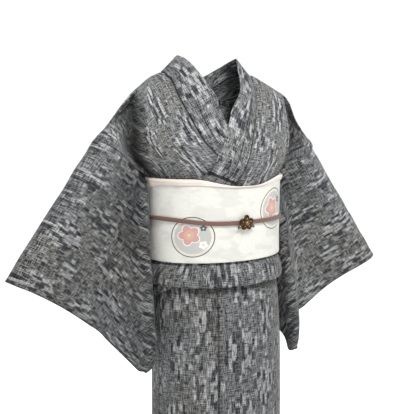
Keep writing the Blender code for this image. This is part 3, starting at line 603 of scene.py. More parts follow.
def cord_centre(step):
    """Middle line of the cord from the front to the back, on the garment's left."""
    clear = OFF_OBI + OBI_CLOTH / 2 + 0.0024
    if step <= SIDE_STEP:
        point = form(90.0 * step / SIDE_STEP, CORD_Z, clear)
    elif step >= HAND_STEP:
        x = CORD_HAND[step - HAND_STEP]
        way = unit(np.array((0.001, hand_depth(x + 0.0005) - hand_depth(x - 0.0005))))
        lift = OBI_CLOTH / 2 + CORD_HALF_THICK + 0.0005
        point = np.array((x - way[1] * lift, hand_depth(x) + way[0] * lift, CORD_Z))
    else:
        side = form(90.0, CORD_Z, clear)
        point = side + (cord_centre(HAND_STEP) - side) * CORD_SIDE[step - SIDE_STEP]
    point[2] = CORD_Z - CORD_DROP * smooth(step, SIDE_STEP, 20)
    return point


def clean_selection():
    """Nothing selected, object mode."""
    if bpy.context.object is not None and bpy.context.object.mode != "OBJECT":
        bpy.ops.object.mode_set(mode="OBJECT")
    bpy.ops.object.select_all(action="DESELECT")


def pick(*items):
    """These pieces selected, the first of them active."""
    clean_selection()
    for item in items:
        item.select_set(True)
    bpy.context.view_layer.objects.active = items[0]


def finish_modifiers(item):
    """Apply every modifier of a piece."""
    pick(item)
    for modifier in list(item.modifiers):
        bpy.ops.object.modifier_apply(modifier=modifier.name)


def soften(item, degrees):
    """Smooth shading up to an angle."""
    pick(item)
    bpy.ops.object.shade_smooth_by_angle(angle=math.radians(degrees))


def crease_height(across, down, creases):
    """Height of troughs and ridges over flat cloth places."""
    height = np.zeros_like(across)
    for start_u, start_v, end_u, end_v, width, rise in creases:
        along = np.array((end_u - start_u, end_v - start_v))
        length = np.linalg.norm(along)
        way = along / length
        du = across - start_u
        dv = down - start_v
        on_line = du * way[0] + dv * way[1]
        aside = np.abs(dv * way[0] - du * way[1])
        taper = np.clip(on_line / (0.25 * length), 0, 1) * np.clip((length - on_line) / (0.35 * length), 0, 1)
        taper = taper * taper * (3 - 2 * taper)
        height += rise * taper * np.exp(-(aside / width) ** 2)
    return height


RIPPLE_WAVES = 7
RIPPLE_SUM = 2.6
RIPPLE_STARTS = 0.015


def ripple(across, down, seed, rise, wave):
    """Soft unevenness of hand-woven cloth."""
    draw = np.random.default_rng(seed)
    height = np.zeros_like(across)
    for _ in range(RIPPLE_WAVES):
        turn = draw.uniform(0, 2 * math.pi)
        size = 2 * math.pi / (wave * draw.uniform(0.7, 1.9))
        phase = draw.uniform(0, 2 * math.pi)
        height += np.sin(size * (across * math.cos(turn) * 1.3 + down * math.sin(turn) * 0.7) + phase)
    return height * rise / RIPPLE_SUM


def outward_normals(points, centre):
    """Normals of a grid that point away from its middle, and whether its faces have to be turned."""
    normals = np.cross(np.gradient(points, axis=1), np.gradient(points, axis=0))
    normals /= np.maximum(np.linalg.norm(normals, axis=2, keepdims=True), 1e-12)
    if float(((points - centre) * normals).sum()) >= 0:
        return normals, False
    return -normals, True


def cloth_mesh(name, points, places, shade, turned_round):
    """Grid primitive laid on the points, with the painted shade, the flat place and the edge distances of
    each corner.
    """
    count_down, count_across = points.shape[:2]
    clean_selection()
    bpy.ops.mesh.primitive_grid_add(x_subdivisions=count_across - 1, y_subdivisions=count_down - 1, size=2)
    item = bpy.context.object
    item.name = name
    item.data.name = name
    mesh = item.data
    start = np.empty(len(mesh.vertices) * 3)
    mesh.vertices.foreach_get("co", start)
    start = start.reshape(-1, 3)
    column_of = np.rint((start[:, 0] + 1) / 2 * (count_across - 1)).astype(int)
    row_of = np.rint((start[:, 1] + 1) / 2 * (count_down - 1)).astype(int)
    mesh.vertices.foreach_set("co", points[row_of, column_of].ravel())
    # per-point painted shade, a darkening that the kimono materials multiply into their colour
    layer = mesh.attributes.new("painted_shade", "FLOAT", "POINT")
    layer.data.foreach_set("value", shade[row_of, column_of].ravel())
    corner = np.empty(len(mesh.loops), int)
    mesh.loops.foreach_get("vertex_index", corner)
    u = places[:, :, 0]
    v = places[:, :, 1]
    edges = np.stack([np.minimum(u - u.min(), u.max() - u), np.minimum(v - v.min(), v.max() - v)], axis=2)
    mesh.uv_layers[0].name = "Flat"
    mesh.uv_layers.new(name="Edge")
    for layer, values in zip(mesh.uv_layers, (places, edges)):
        layer.data.foreach_set("uv", values[row_of[corner], column_of[corner]].ravel())
    mesh.update()
    if turned_round:
        mesh.flip_normals()
    return item


# Which way the side edges of a cloth are turned
TURNED_IN = 1
TURNED_OUT = -1


def cloth_grid(name, columns, rows, place, flat, material, middle="axis", ring=False, creases=(),
               rough=None, turned=0, thick=CLOTH_SHOWN, painted_shade=None):
    """Cloth laid on a form by a function, creased, given turned edges, its thickness and a painted shade at
    each point.
    """
    points = np.array([[place(column, row) for column in columns] for row in rows])
    places = np.array([[flat(column, row) for column in columns] for row in rows])
    # painted shade of each point, given by a function: darkening that stands in for shade in folds and
    # recesses
    shade = np.zeros(points.shape[:2])
    if painted_shade is not None:
        shade = np.array([[painted_shade(column, row, points[j, i]) for i, column in enumerate(columns)]
                          for j, row in enumerate(rows)])
    if middle == "axis":
        centre = points * np.array((0.0, 0.0, 1.0))
    elif middle == "ring":
        centre = points.mean(axis=0, keepdims=True)
    else:
        centre = np.array(middle)
    normals, turned_round = outward_normals(points, centre)
    u = places[:, :, 0]
    v = places[:, :, 1]
    height = crease_height(u, v, creases)
    if rough is not None:
        border = np.minimum(np.abs(u - u[:, :1]), np.abs(u - u[:, -1:]) + (1 if ring else 0))
        height += ripple(u, v, *rough) * np.clip(border / RIPPLE_STARTS, 0, 1)
    points = points + normals * height[:, :, None]
    if turned:
        tucked = points - normals * TURNED_EDGE * turned
        points = np.concatenate([tucked[:, :1], points, tucked[:, -1:]], axis=1)
        places = np.concatenate([places[:, :1], places, places[:, -1:]], axis=1)
        shade = np.concatenate([shade[:, :1], shade, shade[:, -1:]], axis=1)
    item = cloth_mesh(name, points, places, shade, turned_round)
    if ring:
        bpy.ops.object.mode_set(mode="EDIT")
        bpy.ops.mesh.select_all(action="SELECT")
        bpy.ops.mesh.remove_doubles(threshold=0.00003)
        bpy.ops.object.mode_set(mode="OBJECT")
    item.data.materials.clear()
    item.data.materials.append(material)
    if thick > 0:
        wall = item.modifiers.new("thickness", "SOLIDIFY")
        wall.thickness = thick
        wall.offset = 0.0
        finish_modifiers(item)
    soften(item, 42)
    return item


def dress(item, node):
    """Rides on the garment and stands for its solid."""
    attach(item, "root")
    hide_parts(node)
    return item


class Value:
    """Number that runs through a material, joined by plain arithmetic."""

    def __init__(self, weaver, socket):
        self.weaver = weaver
        self.socket = socket

    def __add__(self, other):
        return self.weaver.math("ADD", self, other)

    def __sub__(self, other):
        return self.weaver.math("SUBTRACT", self, other)

    def __rsub__(self, other):
        return self.weaver.math("SUBTRACT", other, self)

    def __mul__(self, other):
        return self.weaver.math("MULTIPLY", self, other)

    def __truediv__(self, other):
        return self.weaver.math("DIVIDE", self, other)

    def __mod__(self, other):
        return self.weaver.math("MODULO", self, other)

    def __abs__(self):
        return self.weaver.math("ABSOLUTE", self)

    def __floor__(self):
        return self.weaver.math("FLOOR", self)

    __radd__ = __add__
    __rmul__ = __mul__


class Weaver:
    """Short way to join the nodes of one material."""

    def __init__(self, name):
        self.material = bpy.data.materials.new(name)
        self.material.use_nodes = True
        self.tree = self.material.node_tree
        self.shader = self.tree.nodes["Principled BSDF"]

    def add(self, kind, **settings):
        node = self.tree.nodes.new(kind)
        for key, value in settings.items():
            setattr(node, key, value)
        return node

    def feed(self, socket, value):
        if isinstance(value, Value):
            value = value.socket
        if isinstance(value, bpy.types.NodeSocket):
            self.tree.links.new(value, socket)
        else:
            socket.default_value = value

    def feed_all(self, node, values):
        for socket, value in zip(node.inputs, values):
            self.feed(socket, value)
        return Value(self, node.outputs[0])

    def math(self, operation, *values):
        return self.feed_all(self.add("ShaderNodeMath", operation=operation), values)

    def join(self, x, y, z=0.0):
        return self.feed_all(self.add("ShaderNodeCombineXYZ"), (x, y, z))

    def split(self, vector):
        node = self.add("ShaderNodeSeparateXYZ")
        self.feed(node.inputs[0], vector)
        return Value(self, node.outputs["X"]), Value(self, node.outputs["Y"])

    def cloth(self, layer):
        """Place on the flat cloth, or distance to its nearest side and end, in metres."""
        return self.split(self.add("ShaderNodeUVMap", uv_map=layer).outputs["UV"])

    def chance(self, *keys):
        """Even random value for whole-numbered keys."""
        node = self.add("ShaderNodeTexWhiteNoise", noise_dimensions="3D")
        self.feed(node.inputs["Vector"], self.join(*keys, *[0.0] * (3 - len(keys))))
        return Value(self, node.outputs["Value"])

    def cloudy(self, x, y, across, along, detail=2.0):
        """Noise stretched to its own scale each way."""
        node = self.add("ShaderNodeTexNoise", noise_dimensions="2D")
        self.feed(node.inputs["Vector"], self.join(x * across, y * along))
        node.inputs["Scale"].default_value = 1.0
        node.inputs["Detail"].default_value = detail
        return Value(self, node.outputs[0])

    def step(self, value, low, high, to_low=0.0, to_high=1.0):
        """Soft step between two values."""
        node = self.add("ShaderNodeMapRange", interpolation_type="SMOOTHSTEP")
        for key, number in (("Value", value), ("From Min", low), ("From Max", high),
                            ("To Min", to_low), ("To Max", to_high)):
            self.feed(node.inputs[key], number)
        return Value(self, node.outputs["Result"])

    def band(self, value, middle, half, soft):
        """One within half of the middle, soft at its edges."""
        return self.step(abs(value - middle), half - soft, half + soft, 1.0, 0.0)

    def mix(self, share, first, second):
        node = self.add("ShaderNodeMix", data_type="RGBA")
        for number, value in ((0, share), (6, first), (7, second)):
            self.feed(node.inputs[number], value)
        return Value(self, node.outputs[2])

    def tint(self, colour, factor):
        """Colour made lighter or darker by a value."""
        node = self.add("ShaderNodeVectorMath", operation="SCALE")
        self.feed(node.inputs[0], colour)
        self.feed(node.inputs["Scale"], factor)
        return Value(self, node.outputs[0])

    def distance(self, x, y):
        return self.math("SQRT", x * x + y * y)

    def raise_by(self, height, distance, strength):
        bump = self.add("ShaderNodeBump")
        bump.inputs["Distance"].default_value = distance
        bump.inputs["Strength"].default_value = strength
        self.feed(bump.inputs["Height"], height)
        self.feed(self.shader.inputs["Normal"], bump.outputs[0])

    def surface(self, base, **constants):
        """Base colour and the constant finish of the surface."""
        self.feed(self.shader.inputs["Base Color"], base)
        for key, number in constants.items():
            self.shader.inputs[key.replace("_", " ")].default_value = number
        return self.material


def colour(red, green, blue):
    return (red, green, blue, 1.0)


KASURI_COOL = colour(0.1325, 0.1365, 0.1395)
KASURI_WARM = colour(0.1360, 0.1365, 0.1300)
KASURI_LIGHT = colour(0.345, 0.350, 0.350)
KASURI_DARK = colour(0.024, 0.026, 0.033)
DASH_WIDTH = 0.0068
CLUSTER_WIDTH = 0.0612
CLUSTER_LENGTH = 0.142
DASHES_ALONG = 5.4
THREAD = 0.0012
WARP_PITCH = 0.0011
WEFT_PITCH = 0.0012
# Painted shade at seams and along a pressed fold: widths of the dark line, the soft band and the fold line,
# and their darkness
SEAM_SHADOW_LINE = (0.0011, 0.0034)
SEAM_SOFT_WIDTH = 0.011
SEAM_SOFT_SHADE = 0.22
PRESSED_HALF = 0.0011
PRESSED_SOFT = 0.0009
PRESSED_SHADE = 0.7


def painted_seam_shade(w, x, pressed_fold, seam_shade):
    """Painted shade at the seams of a cut piece, a soft band beside its sides, and along a pressed fold."""
    to_side, to_end = w.cloth("Edge")
    line = w.step(w.math("MINIMUM", to_side, to_end), *SEAM_SHADOW_LINE, seam_shade, 0.0)
    seam = w.math("MAXIMUM", line, w.step(to_side, 0.0, SEAM_SOFT_WIDTH, SEAM_SOFT_SHADE, 0.0))
    if pressed_fold is not None:
        fold = w.band(x, pressed_fold, PRESSED_HALF, PRESSED_SOFT) * PRESSED_SHADE
        seam = w.math("MAXIMUM", seam, fold)
    return seam


def kasuri_dashes(w, x, y):
    """Light and dark dashes in broken diamonds and arrows, each cluster a little its own."""
    wide = x + (w.cloudy(x, y, 60.0, 12.0, 1.0) - 0.5) * 0.012
    thread_number = math.floor(x / THREAD)
    thread = w.chance(thread_number) - 0.5
    column = math.floor(wide / DASH_WIDTH)
    cell_x = math.floor(wide / CLUSTER_WIDTH)
    stagger = abs(cell_x % 2.0) * 0.5
    along = y / CLUSTER_LENGTH + (stagger + w.chance(cell_x, 5.0) * 0.25)
    cell_y = math.floor(along)
    part_y = along - cell_y - 0.5
    steps = CLUSTER_WIDTH / DASH_WIDTH
    middle = (steps / 2 - 0.5) + (w.chance(cell_x, cell_y, 2.0) - 0.5)
    aside = abs(column - cell_x * steps - middle)
    arrow = w.step(w.chance(cell_x, cell_y, 4.0), 0.55, 0.56)
    fold_y = abs(part_y)
    nest_y = fold_y + arrow * (part_y - fold_y)
    loose = (w.chance(column, 9.0, cell_y) - 0.5) * 0.44
    lean = 0.16 + w.chance(cell_x, cell_y, 7.0) * 0.26
    phase = nest_y * DASHES_ALONG + aside * lean + loose + thread * 0.26
    row = math.floor(phase)
    beside = wide / DASH_WIDTH - column
    body = w.band(phase - row, 0.5, 0.45, 0.035) * (0.35 + w.band(beside, 0.5, 0.43, 0.06) * 0.65)
    luck = w.chance(column, row + cell_y * 17.0, 3.0)
    kept = w.step(luck, 0.10, 0.11)
    turned = w.step(luck, 0.90, 0.91)
    dark_row = abs(abs((row + column) % 2.0) - turned)
    size = 0.80 + w.chance(cell_x, cell_y, 8.0) * 0.40
    spread = aside * 0.190 + fold_y * 2.35 + (luck - 0.5) * 0.55
    cluster = w.step(size - spread, -0.03, 0.03)
    stray = w.step(w.chance(column, row + cell_y * 31.0, 6.0), 0.90, 0.91)
    shown = w.math("MAXIMUM", cluster, stray) * (kept * body)
    strong = w.step(w.chance(column, row, cell_y), 0.0, 1.0, 0.55, 1.0)
    strong = strong * w.step(w.chance(thread_number, row, 12.0), 0.1, 0.5, 0.72, 1.0)
    return shown * (1.0 - dark_row) * strong, shown * dark_row * strong


def tsumugi_cloth(name, shift, pressed_fold=None, seam_shade=0.60, rough=1.12):
    """Hand-woven silk with tied-and-dyed dashes and slubs, with painted shade at its seams and in its folds.
    """
    w = Weaver(name)
    x, y = w.cloth("Flat")
    # painted shade along the seams and the pressed fold
    seam = painted_seam_shade(w, x, pressed_fold, seam_shade)
    # painted shade: the point attribute read here darkens the colour in folds, under the belt and beside the
    # body
    painted_shade_factor = Value(w, w.add("ShaderNodeAttribute", attribute_name="painted_shade").outputs["Fac"])
    x = x + shift
    y = y + shift * 3.7
    light, dark = kasuri_dashes(w, x, y)
    slub = w.cloudy(x, y, 60.0, 620.0, 0.0) - 0.5
    warp = w.cloudy(x, y, 600.0, 80.0, 0.0) - 0.5
    speckle = w.cloudy(x, y, 540.0, 540.0, 0.0) - 0.5
    streak = w.cloudy(x, y, 150.0, 7.0, 1.0) - 0.5
    grain = (slub * 1.9 + warp * 2.2 + speckle * 1.3 + streak * 0.7) * rough
    shade = w.math("MAXIMUM", 1.0 + grain * (1.0 - light * 0.5), 0.16)
    dye = w.step(w.cloudy(x, y, 6.0, 4.0, 1.0), 0.36, 0.64)
    base = w.mix(light, w.mix(dye, KASURI_COOL, KASURI_WARM), KASURI_LIGHT)
    base = w.mix(dark, base, KASURI_DARK)
    over = w.math("SINE", x * (2 * math.pi / WARP_PITCH))
    under = w.math("SINE", y * (2 * math.pi / WEFT_PITCH))
    w.raise_by(over * under * 0.25 + grain * 0.4, 0.0002, 0.8)
    # colour darkened by the painted seam shade and by the painted shade of the point attribute
    return w.surface(w.tint(base, shade * (1.0 - seam) * (1.0 - painted_shade_factor)), Roughness=0.86,
                     Sheen_Weight=0.08, Sheen_Roughness=0.45, Specular_IOR_Level=0.25)


OBI_GROUND = colour(0.71, 0.70, 0.645)
OBI_CLOUD = colour(0.47, 0.475, 0.46)
MOTIF_FIELD = colour(0.47, 0.475, 0.46)
MOTIF_LINE = colour(0.075, 0.08, 0.085)
MOTIF_PINK = colour(0.56, 0.31, 0.29)
MOTIF_GOLD = colour(0.66, 0.53, 0.29)
MOTIF_WHITE = colour(0.84, 0.82, 0.77)
MEDALLION_SPACE = 0.176
MEDALLION_RISE = 0.155
MEDALLION_STAGGER = 0.046
MEDALLION_RADIUS = 0.041
HOOP_INSET = 0.0060
BLOSSOM_RAYS = 15.0
PETALS = 5
PETAL_DIP = 0.34
# Flowers of a medallion: across, along, reach, turn
BLOSSOM = (-0.006, 0.004, 0.0215, 0.55)
WHITE_BUD = (0.0205, -0.0165, 0.0085, 0.2)
DARK_BUD = (0.0205, 0.0185, 0.0062, 0.9)


def flower(w, x, y, across, along, reach, turn):
    """Depth inside a round flower outline, and the polar place in it."""
    x = x - across
    y = y - along
    away = w.distance(x, y)
    around = w.math("ARCTAN2", y, x) + turn
    lobe = abs(w.math("COSINE", around * (PETALS / 2)))
    return (1 - PETAL_DIP + lobe * PETAL_DIP) * reach - away, away, around


def medallion(w, base, x, y):
    """Round plum-blossom medallion with two buds, over a ground colour."""
    away = w.distance(x, y)
    disc = w.step(away, MEDALLION_RADIUS - 0.0062, MEDALLION_RADIUS - 0.0052, 1.0, 0.0)
    petals, petals_away, around = flower(w, x, y, *BLOSSOM)
    rays = w.step(w.math("COSINE", around * BLOSSOM_RAYS), 0.45, 0.75)
    white, white_away, _ = flower(w, x, y, *WHITE_BUD)
    dark, dark_away, _ = flower(w, x, y, *DARK_BUD)
    for share, paint in (
        (disc, MOTIF_FIELD),
        (w.band(away, MEDALLION_RADIUS, 0.0010, 0.0004), MOTIF_LINE),
        (w.band(away, MEDALLION_RADIUS - HOOP_INSET, 0.0006, 0.0003), MOTIF_GOLD),
        (w.step(petals, -0.0016, -0.0008), MOTIF_WHITE),
        (w.step(petals, 0.0000, 0.0008), MOTIF_PINK),
        (rays * w.step(petals_away, 0.0095, 0.0105, 1.0, 0.0), MOTIF_GOLD),
        (w.step(petals_away, 0.0030, 0.0038, 1.0, 0.0), MOTIF_GOLD),
        (w.step(white, -0.0008, 0.0002), MOTIF_WHITE),
        (w.step(white_away, 0.0022, 0.0028, 1.0, 0.0), MOTIF_GOLD),
        (w.step(dark, -0.0006, 0.0002), MOTIF_LINE),
        (w.step(dark_away, 0.0018, 0.0023, 1.0, 0.0), MOTIF_FIELD),
    ):
        base = w.mix(share, base, paint)
    return base, disc


def obi_cloth(name, shift_u, shift_v):
    """Ivory woven silk with round plum-blossom medallions and faint haze."""
    w = Weaver(name)
    x, y = w.cloth("Flat")
    x = x + shift_u
    y = y + shift_v
    slub = w.cloudy(x, y, 60.0, 1300.0)
    warp = w.cloudy(x, y, 1400.0, 50.0)
    haze = w.step(w.cloudy(x, y, 16.0, 34.0), 0.47, 0.60)
    wisp = w.band(w.cloudy(x, y, 30.0, 60.0, 1.0), 0.56, 0.035, 0.030)
    base = w.mix(haze * 0.32, OBI_GROUND, OBI_CLOUD)
    base = w.mix(wisp * 0.14, base, OBI_CLOUD)
    cell = math.floor(x / MEDALLION_SPACE)
    cell_up = math.floor(y / MEDALLION_RISE)
    across = x - cell * MEDALLION_SPACE - MEDALLION_SPACE / 2
    up = y - cell_up * MEDALLION_RISE - MEDALLION_RISE / 2
    up = up + (abs(cell % 2.0) * MEDALLION_STAGGER - MEDALLION_STAGGER / 2)
    base, disc = medallion(w, base, across, up)
    shade = 0.985 + ((slub - 0.5) + (warp - 0.5)) * 0.10
    ribs = w.math("SINE", y * (2 * math.pi / 0.0010))
    w.raise_by(ribs * 0.4 + (slub + disc * 1.2), 0.00018, 0.7)
    return w.surface(w.tint(base, shade), Roughness=0.55, Sheen_Weight=0.10, Specular_IOR_Level=0.35)


def sash_crepe():
    """Fine pink crepe of the sash."""
    w = Weaver("sash_crepe")
    x, y = w.cloth("Flat")
    pebble = w.cloudy(x, y, 700.0, 900.0, 3.0)
    tone = w.cloudy(x, y, 20.0, 60.0)
    base = w.mix(w.step(tone, 0.35, 0.7), colour(0.74, 0.64, 0.575), colour(0.80, 0.72, 0.66))
    w.raise_by(pebble, 0.0003, 0.6)
    return w.surface(w.tint(base, 0.9 + pebble * 0.2), Roughness=0.8, Sheen_Weight=0.15)


def braided_silk():
    """Brown silk braid of the cord."""
    w = Weaver("braided_silk")
    x, y = w.cloth("Flat")
    strands = w.math("SINE", x * (2 * math.pi / 0.0030) + abs(y) * (2 * math.pi / 0.0050))
    fuzz = w.cloudy(x, y, 2200.0, 900.0)
    base = w.mix(w.step(strands, -0.7, 0.6), colour(0.085, 0.042, 0.030), colour(0.215, 0.115, 0.082))
    w.raise_by(strands, 0.0003, 0.7)
    return w.surface(w.tint(base, 0.85 + fuzz * 0.3), Roughness=0.6, Sheen_Weight=0.15)


def worn_metal(name, dark, bright, roughness):
    """Cast metal with darker hollows."""
    w = Weaver(name)
    noise = w.add("ShaderNodeTexNoise")
    w.feed(noise.inputs["Vector"], w.add("ShaderNodeTexCoord").outputs["Object"])
    noise.inputs["Scale"].default_value = 380.0
    noise.inputs["Detail"].default_value = 3.0
    w.raise_by(noise.outputs[0], 0.0002, 0.4)
    return w.surface(w.mix(w.step(noise.outputs[0], 0.38, 0.62), dark, bright), Metallic=0.9,
                     Roughness=roughness)


# Kimono cloths: pattern shift, pressed fold, darkness of the painted seam shade, grain strength
CLOTH_GREY = tsumugi_cloth("tsumugi_kasuri", 0.013)
CLOTH_BODY = tsumugi_cloth("tsumugi_kasuri_body", 0.013, None, 0.34, 1.22)
CLOTH_COLLAR = tsumugi_cloth("tsumugi_kasuri_collar", 0.047, 0.029, 0.85)
CLOTH_SLEEVE = tsumugi_cloth("tsumugi_kasuri_sleeve", 0.081, None, 0.60, 1.40)
OBI_SILK = obi_cloth("obi_silk_band", 0.0, 0.0)
OBI_SILK_DRUM = obi_cloth("obi_silk_drum", 0.062, 0.020)
SASH_SILK = sash_crepe()
CORD_SILK = braided_silk()
ORNAMENT_DARK = worn_metal("ornament_bronze", colour(0.030, 0.017, 0.010), colour(0.11, 0.060, 0.032), 0.5)
ORNAMENT_GOLD = worn_metal("ornament_gold", colour(0.26, 0.16, 0.06), colour(0.66, 0.50, 0.26), 0.38)


def lengths_down(rows, column, place, start=0):
    """Length of cloth from the start row to every row, less than nought before it."""
    points = [place(column, row) for row in rows]
    total = [0.0]
    for one, two in zip(points, points[1:]):
        total.append(total[-1] + float(np.linalg.norm(two - one)))
    return {row: length - total[start] for row, length in zip(rows, total)}


# Steps and shares at which the body panel is sampled
FINE_STEPS = [0.0, 1.0] + spaced(1.25, 9.0, 31)
FINE_FRONT = spaced(0.0, 1.0, 72)
FINE_NECK = [NECK_BACK * math.cos(math.pi / 2 * k / 24) for k in range(24, -1, -1)]
FINE_BACK = FINE_NECK + spaced(NECK_BACK + 0.02, 1.0, 36)
PANEL_MIDDLE = 0.55
# Folds of a cloth: start across and down, end across and down, width, rise
BODY_FOLDS = {
    "left": (
        (0.235, 0.040, 0.205, 0.300, 0.010, 0.0022), (0.180, 0.120, 0.150, 0.330, 0.011, -0.0018),
        (0.110, 0.170, 0.100, 0.340, 0.009, 0.0015), (0.262, 0.190, 0.245, 0.350, 0.007, -0.0022),
        (0.120, -0.150, 0.150, -0.360, 0.012, 0.0024), (0.215, -0.080, 0.190, -0.350, 0.010, -0.0022),
        (0.250, -0.150, 0.235, -0.370, 0.008, 0.0022),
    ),
    "right": (
        (0.205, 0.110, 0.170, 0.330, 0.010, 0.0022), (0.240, 0.170, 0.215, 0.350, 0.008, -0.0024),
        (0.150, 0.150, 0.115, 0.330, 0.010, 0.0016), (0.268, 0.230, 0.262, 0.350, 0.006, 0.0020),
        (0.130, -0.160, 0.155, -0.360, 0.012, 0.0024), (0.210, -0.090, 0.185, -0.350, 0.010, -0.0022),
        (0.255, -0.160, 0.240, -0.370, 0.008, 0.0022),
    ),
}
BODY_RIPPLE = {"left": (11, 0.0005, 0.075), "right": (12, 0.0005, 0.075)}
# Painted shade beside the chest and on the overfold under the belt: darkness and its fade across
VALLEY_SHADE = {"left": 0.78, "right": 0.72}
VALLEY_FADE = {"left": (0.15, 0.52), "right": (0.07, 0.36)}
OVERFOLD_SHADE = 0.17
OVERFOLD_LOW_SHADE = 0.25


def overfold_painted_shade(step):
    """Painted shade of the overfold, deeper at its lower edge."""
    return OVERFOLD_SHADE + OVERFOLD_LOW_SHADE * smooth(step, 6.0, 7.6)


def body_painted_shade(side, share, row):
    """Painted deep shade of the fold beside the chest and of the tuck under the belt."""
    kind, value, behind = row
    if kind == "over":
        return overfold_painted_shade(value)
    if behind:
        return 0.0
    spot = panel_spot(side, share, value, False)
    edge = table(VALLEY[side], value, 1)
    near, far = VALLEY_FADE[side]
    wall = smooth(spot, edge + 0.008, edge + 0.040) * (1 - smooth(spot, edge + near, edge + far))
    return valley_reach(value) * VALLEY_SHADE[side] * wall


def body_panel(side):
    """One length of cloth over the shoulder, front and back, with its overfold."""
    rows = [("over", step, True) for step in reversed(FINE_STEPS)]
    rows += [("trunk", height, True) for height in reversed(FINE_BACK)]
    start = len(rows) - 1
    rows += [("trunk", height, False) for height in FINE_FRONT[1:]]
    rows += [("over", step, False) for step in FINE_STEPS]

    def place(share, row):
        kind, value, behind = row
        if kind == "over":
            return overfold_point(side, share, value, behind)
        return body_panel_point(side, share, value, behind)

    down = lengths_down(rows, PANEL_MIDDLE, place, start)
    item = cloth_grid("kimono_body_" + side, spaced(0.0, 1.0, 80), rows, place,
                      lambda share, row: (share * PANEL_WIDTH, down[row]), CLOTH_BODY,
                      creases=BODY_FOLDS[side], rough=BODY_RIPPLE[side], turned=TURNED_IN,
                      painted_shade=lambda share, row, spot: body_painted_shade(side, share, row))
    dress(item, "body_" + side)


OVER_ROWS = [0.0, 0.5] + spaced(1.0, 9.0, 32)


def overfold_edge(z):
    """Turn of the overlap's free edge round the overfold."""
    return OVERFOLD_EDGE_DEG + 9.0 * smooth(-z, 0.385, 0.44)


def overfold_strip(name, node, first_deg, last_deg, sign, off, lift, columns, width):
    """Narrow length of cloth round the overfold between two turns, no last turn for the free edge."""

    def place(part, step):
        out, z = fold_profile(step)
        first = overfold_edge(z) + SEAM_TURN if first_deg is None else first_deg
        last = overfold_edge(z) if last_deg is None else last_deg
        return form(sign * (first + (last - first) * part), z, off + lift * smooth(-z, 0.39, 0.41) + out)

    down = lengths_down(OVER_ROWS, 0.5, place)
    item = cloth_grid(name, spaced(0.0, 1.0, columns), OVER_ROWS, place,
                      lambda part, step: (part * width + 0.021, down[step] + 0.03), CLOTH_GREY,
                      turned=TURNED_IN, painted_shade=lambda part, step, spot: overfold_painted_shade(step))
    dress(item, node)


SEAM_TURN = 0.10
SKIRT_FOLD = 0.0022
SKIRT_RADIUS = 0.128
SKIRT_TOP_Z = -0.300
SKIRT_GAP = 0.02
# Painted shade of the skirt: just below the overfold, all over, and extra towards the hem
SKIRT_TOP_SHADE = 0.52
SKIRT_SHADE = 0.16
SKIRT_HEM_SHADE = 0.10
# Cloth turned up inside at the hem: rise, distance inwards
HEM_RETURN = ((-0.0004, 0.0005), (0.0000, 0.0010), (0.0060, 0.0011), (0.0130, 0.0011))
# Lengths of the skirt: piece, solid, first and last turn, outer layer, columns, what holds it
SKIRT_PIECES = (
    ("back_left", "skirt_back_left", SIDE_DEG, 180, False, 40, "body_left"),
    ("back_right", "skirt_back_right", 180, 360 - SIDE_DEG, False, 40, "body_right"),
    ("front_right", "skirt_front_right", -SIDE_DEG, OKUMI_DEG, False, 60, "body_right"),
    ("overlap_right", "okumi_right", OKUMI_DEG, OKUMI_EDGE_DEG, False, 30, "skirt_front_right"),
    ("front_left", "skirt_front_left", -OKUMI_DEG, SIDE_DEG, True, 60, "body_left"),
    ("overlap_left", "okumi_left", -OKUMI_EDGE_DEG, -OKUMI_DEG, True, 30, "skirt_front_left"),
)


def skirt_fold(deg, z):
    """Shallow upright folds of the skirt."""
    turn = math.radians(deg)
    depth = SKIRT_FOLD * smooth(-z, 0.50, 0.95)
    return depth * math.sin(turn * 7 + 0.6) * (0.6 + 0.4 * math.cos(turn * 3))


def skirt_painted_shade(deg, row, spot):
    """Painted shade: a little over the whole skirt, more just below the overfold and slightly more towards
    the hem.
    """
    low = SKIRT_SHADE + SKIRT_HEM_SHADE * smooth(-spot[2], 0.60, 0.90)
    return max(SKIRT_TOP_SHADE * smooth(spot[2], -0.475, -0.440), low)


def skirt_length(name, node, first, last, outer, columns):
    """Straight length of the skirt, its hem turned up inside."""
    rows = [("down", z) for z in spaced(SKIRT_TOP_Z, HEM_Z, 150)]
    rows += [("turn", k) for k in range(len(HEM_RETURN))]
    off = OFF_SKIRT_OUT if outer else OFF_SKIRT_IN

    def place(deg, row):
        kind, value = row
        if kind == "down":
            return form(deg, value, off + skirt_fold(deg, value))
        rise, inside = HEM_RETURN[value]
        return form(deg, HEM_Z + rise, off + skirt_fold(deg, HEM_Z) - inside)

    shift = 0.02 if outer else 0.05
    down = lengths_down(rows, (first + last) / 2, place)
    item = cloth_grid(name, spaced(first, last, columns), rows, place,
                      lambda deg, row: (math.radians(deg) * SKIRT_RADIUS + shift, down[row]),
                      CLOTH_GREY, turned=TURNED_IN, painted_shade=skirt_painted_shade)
    dress(item, node)


COLLAR_LAYER = 0.0008
COLLAR_WIDTH = 0.055
COLLAR_ROUND_FROM = 0.965
COLLAR_ACROSS = spaced(0.0, 0.90, 9) + [0.94, COLLAR_ROUND_FROM, 0.982, 0.993, 1.0]
COLLAR_STOP_SPACE = 0.009
COLLAR_AXIS = (0.0, 0.03, -0.08)
COVER_STOP = SHOULDER_STOP + (1 - SHOULDER_STOP) * 0.87
COVER_GAP = 0.0016


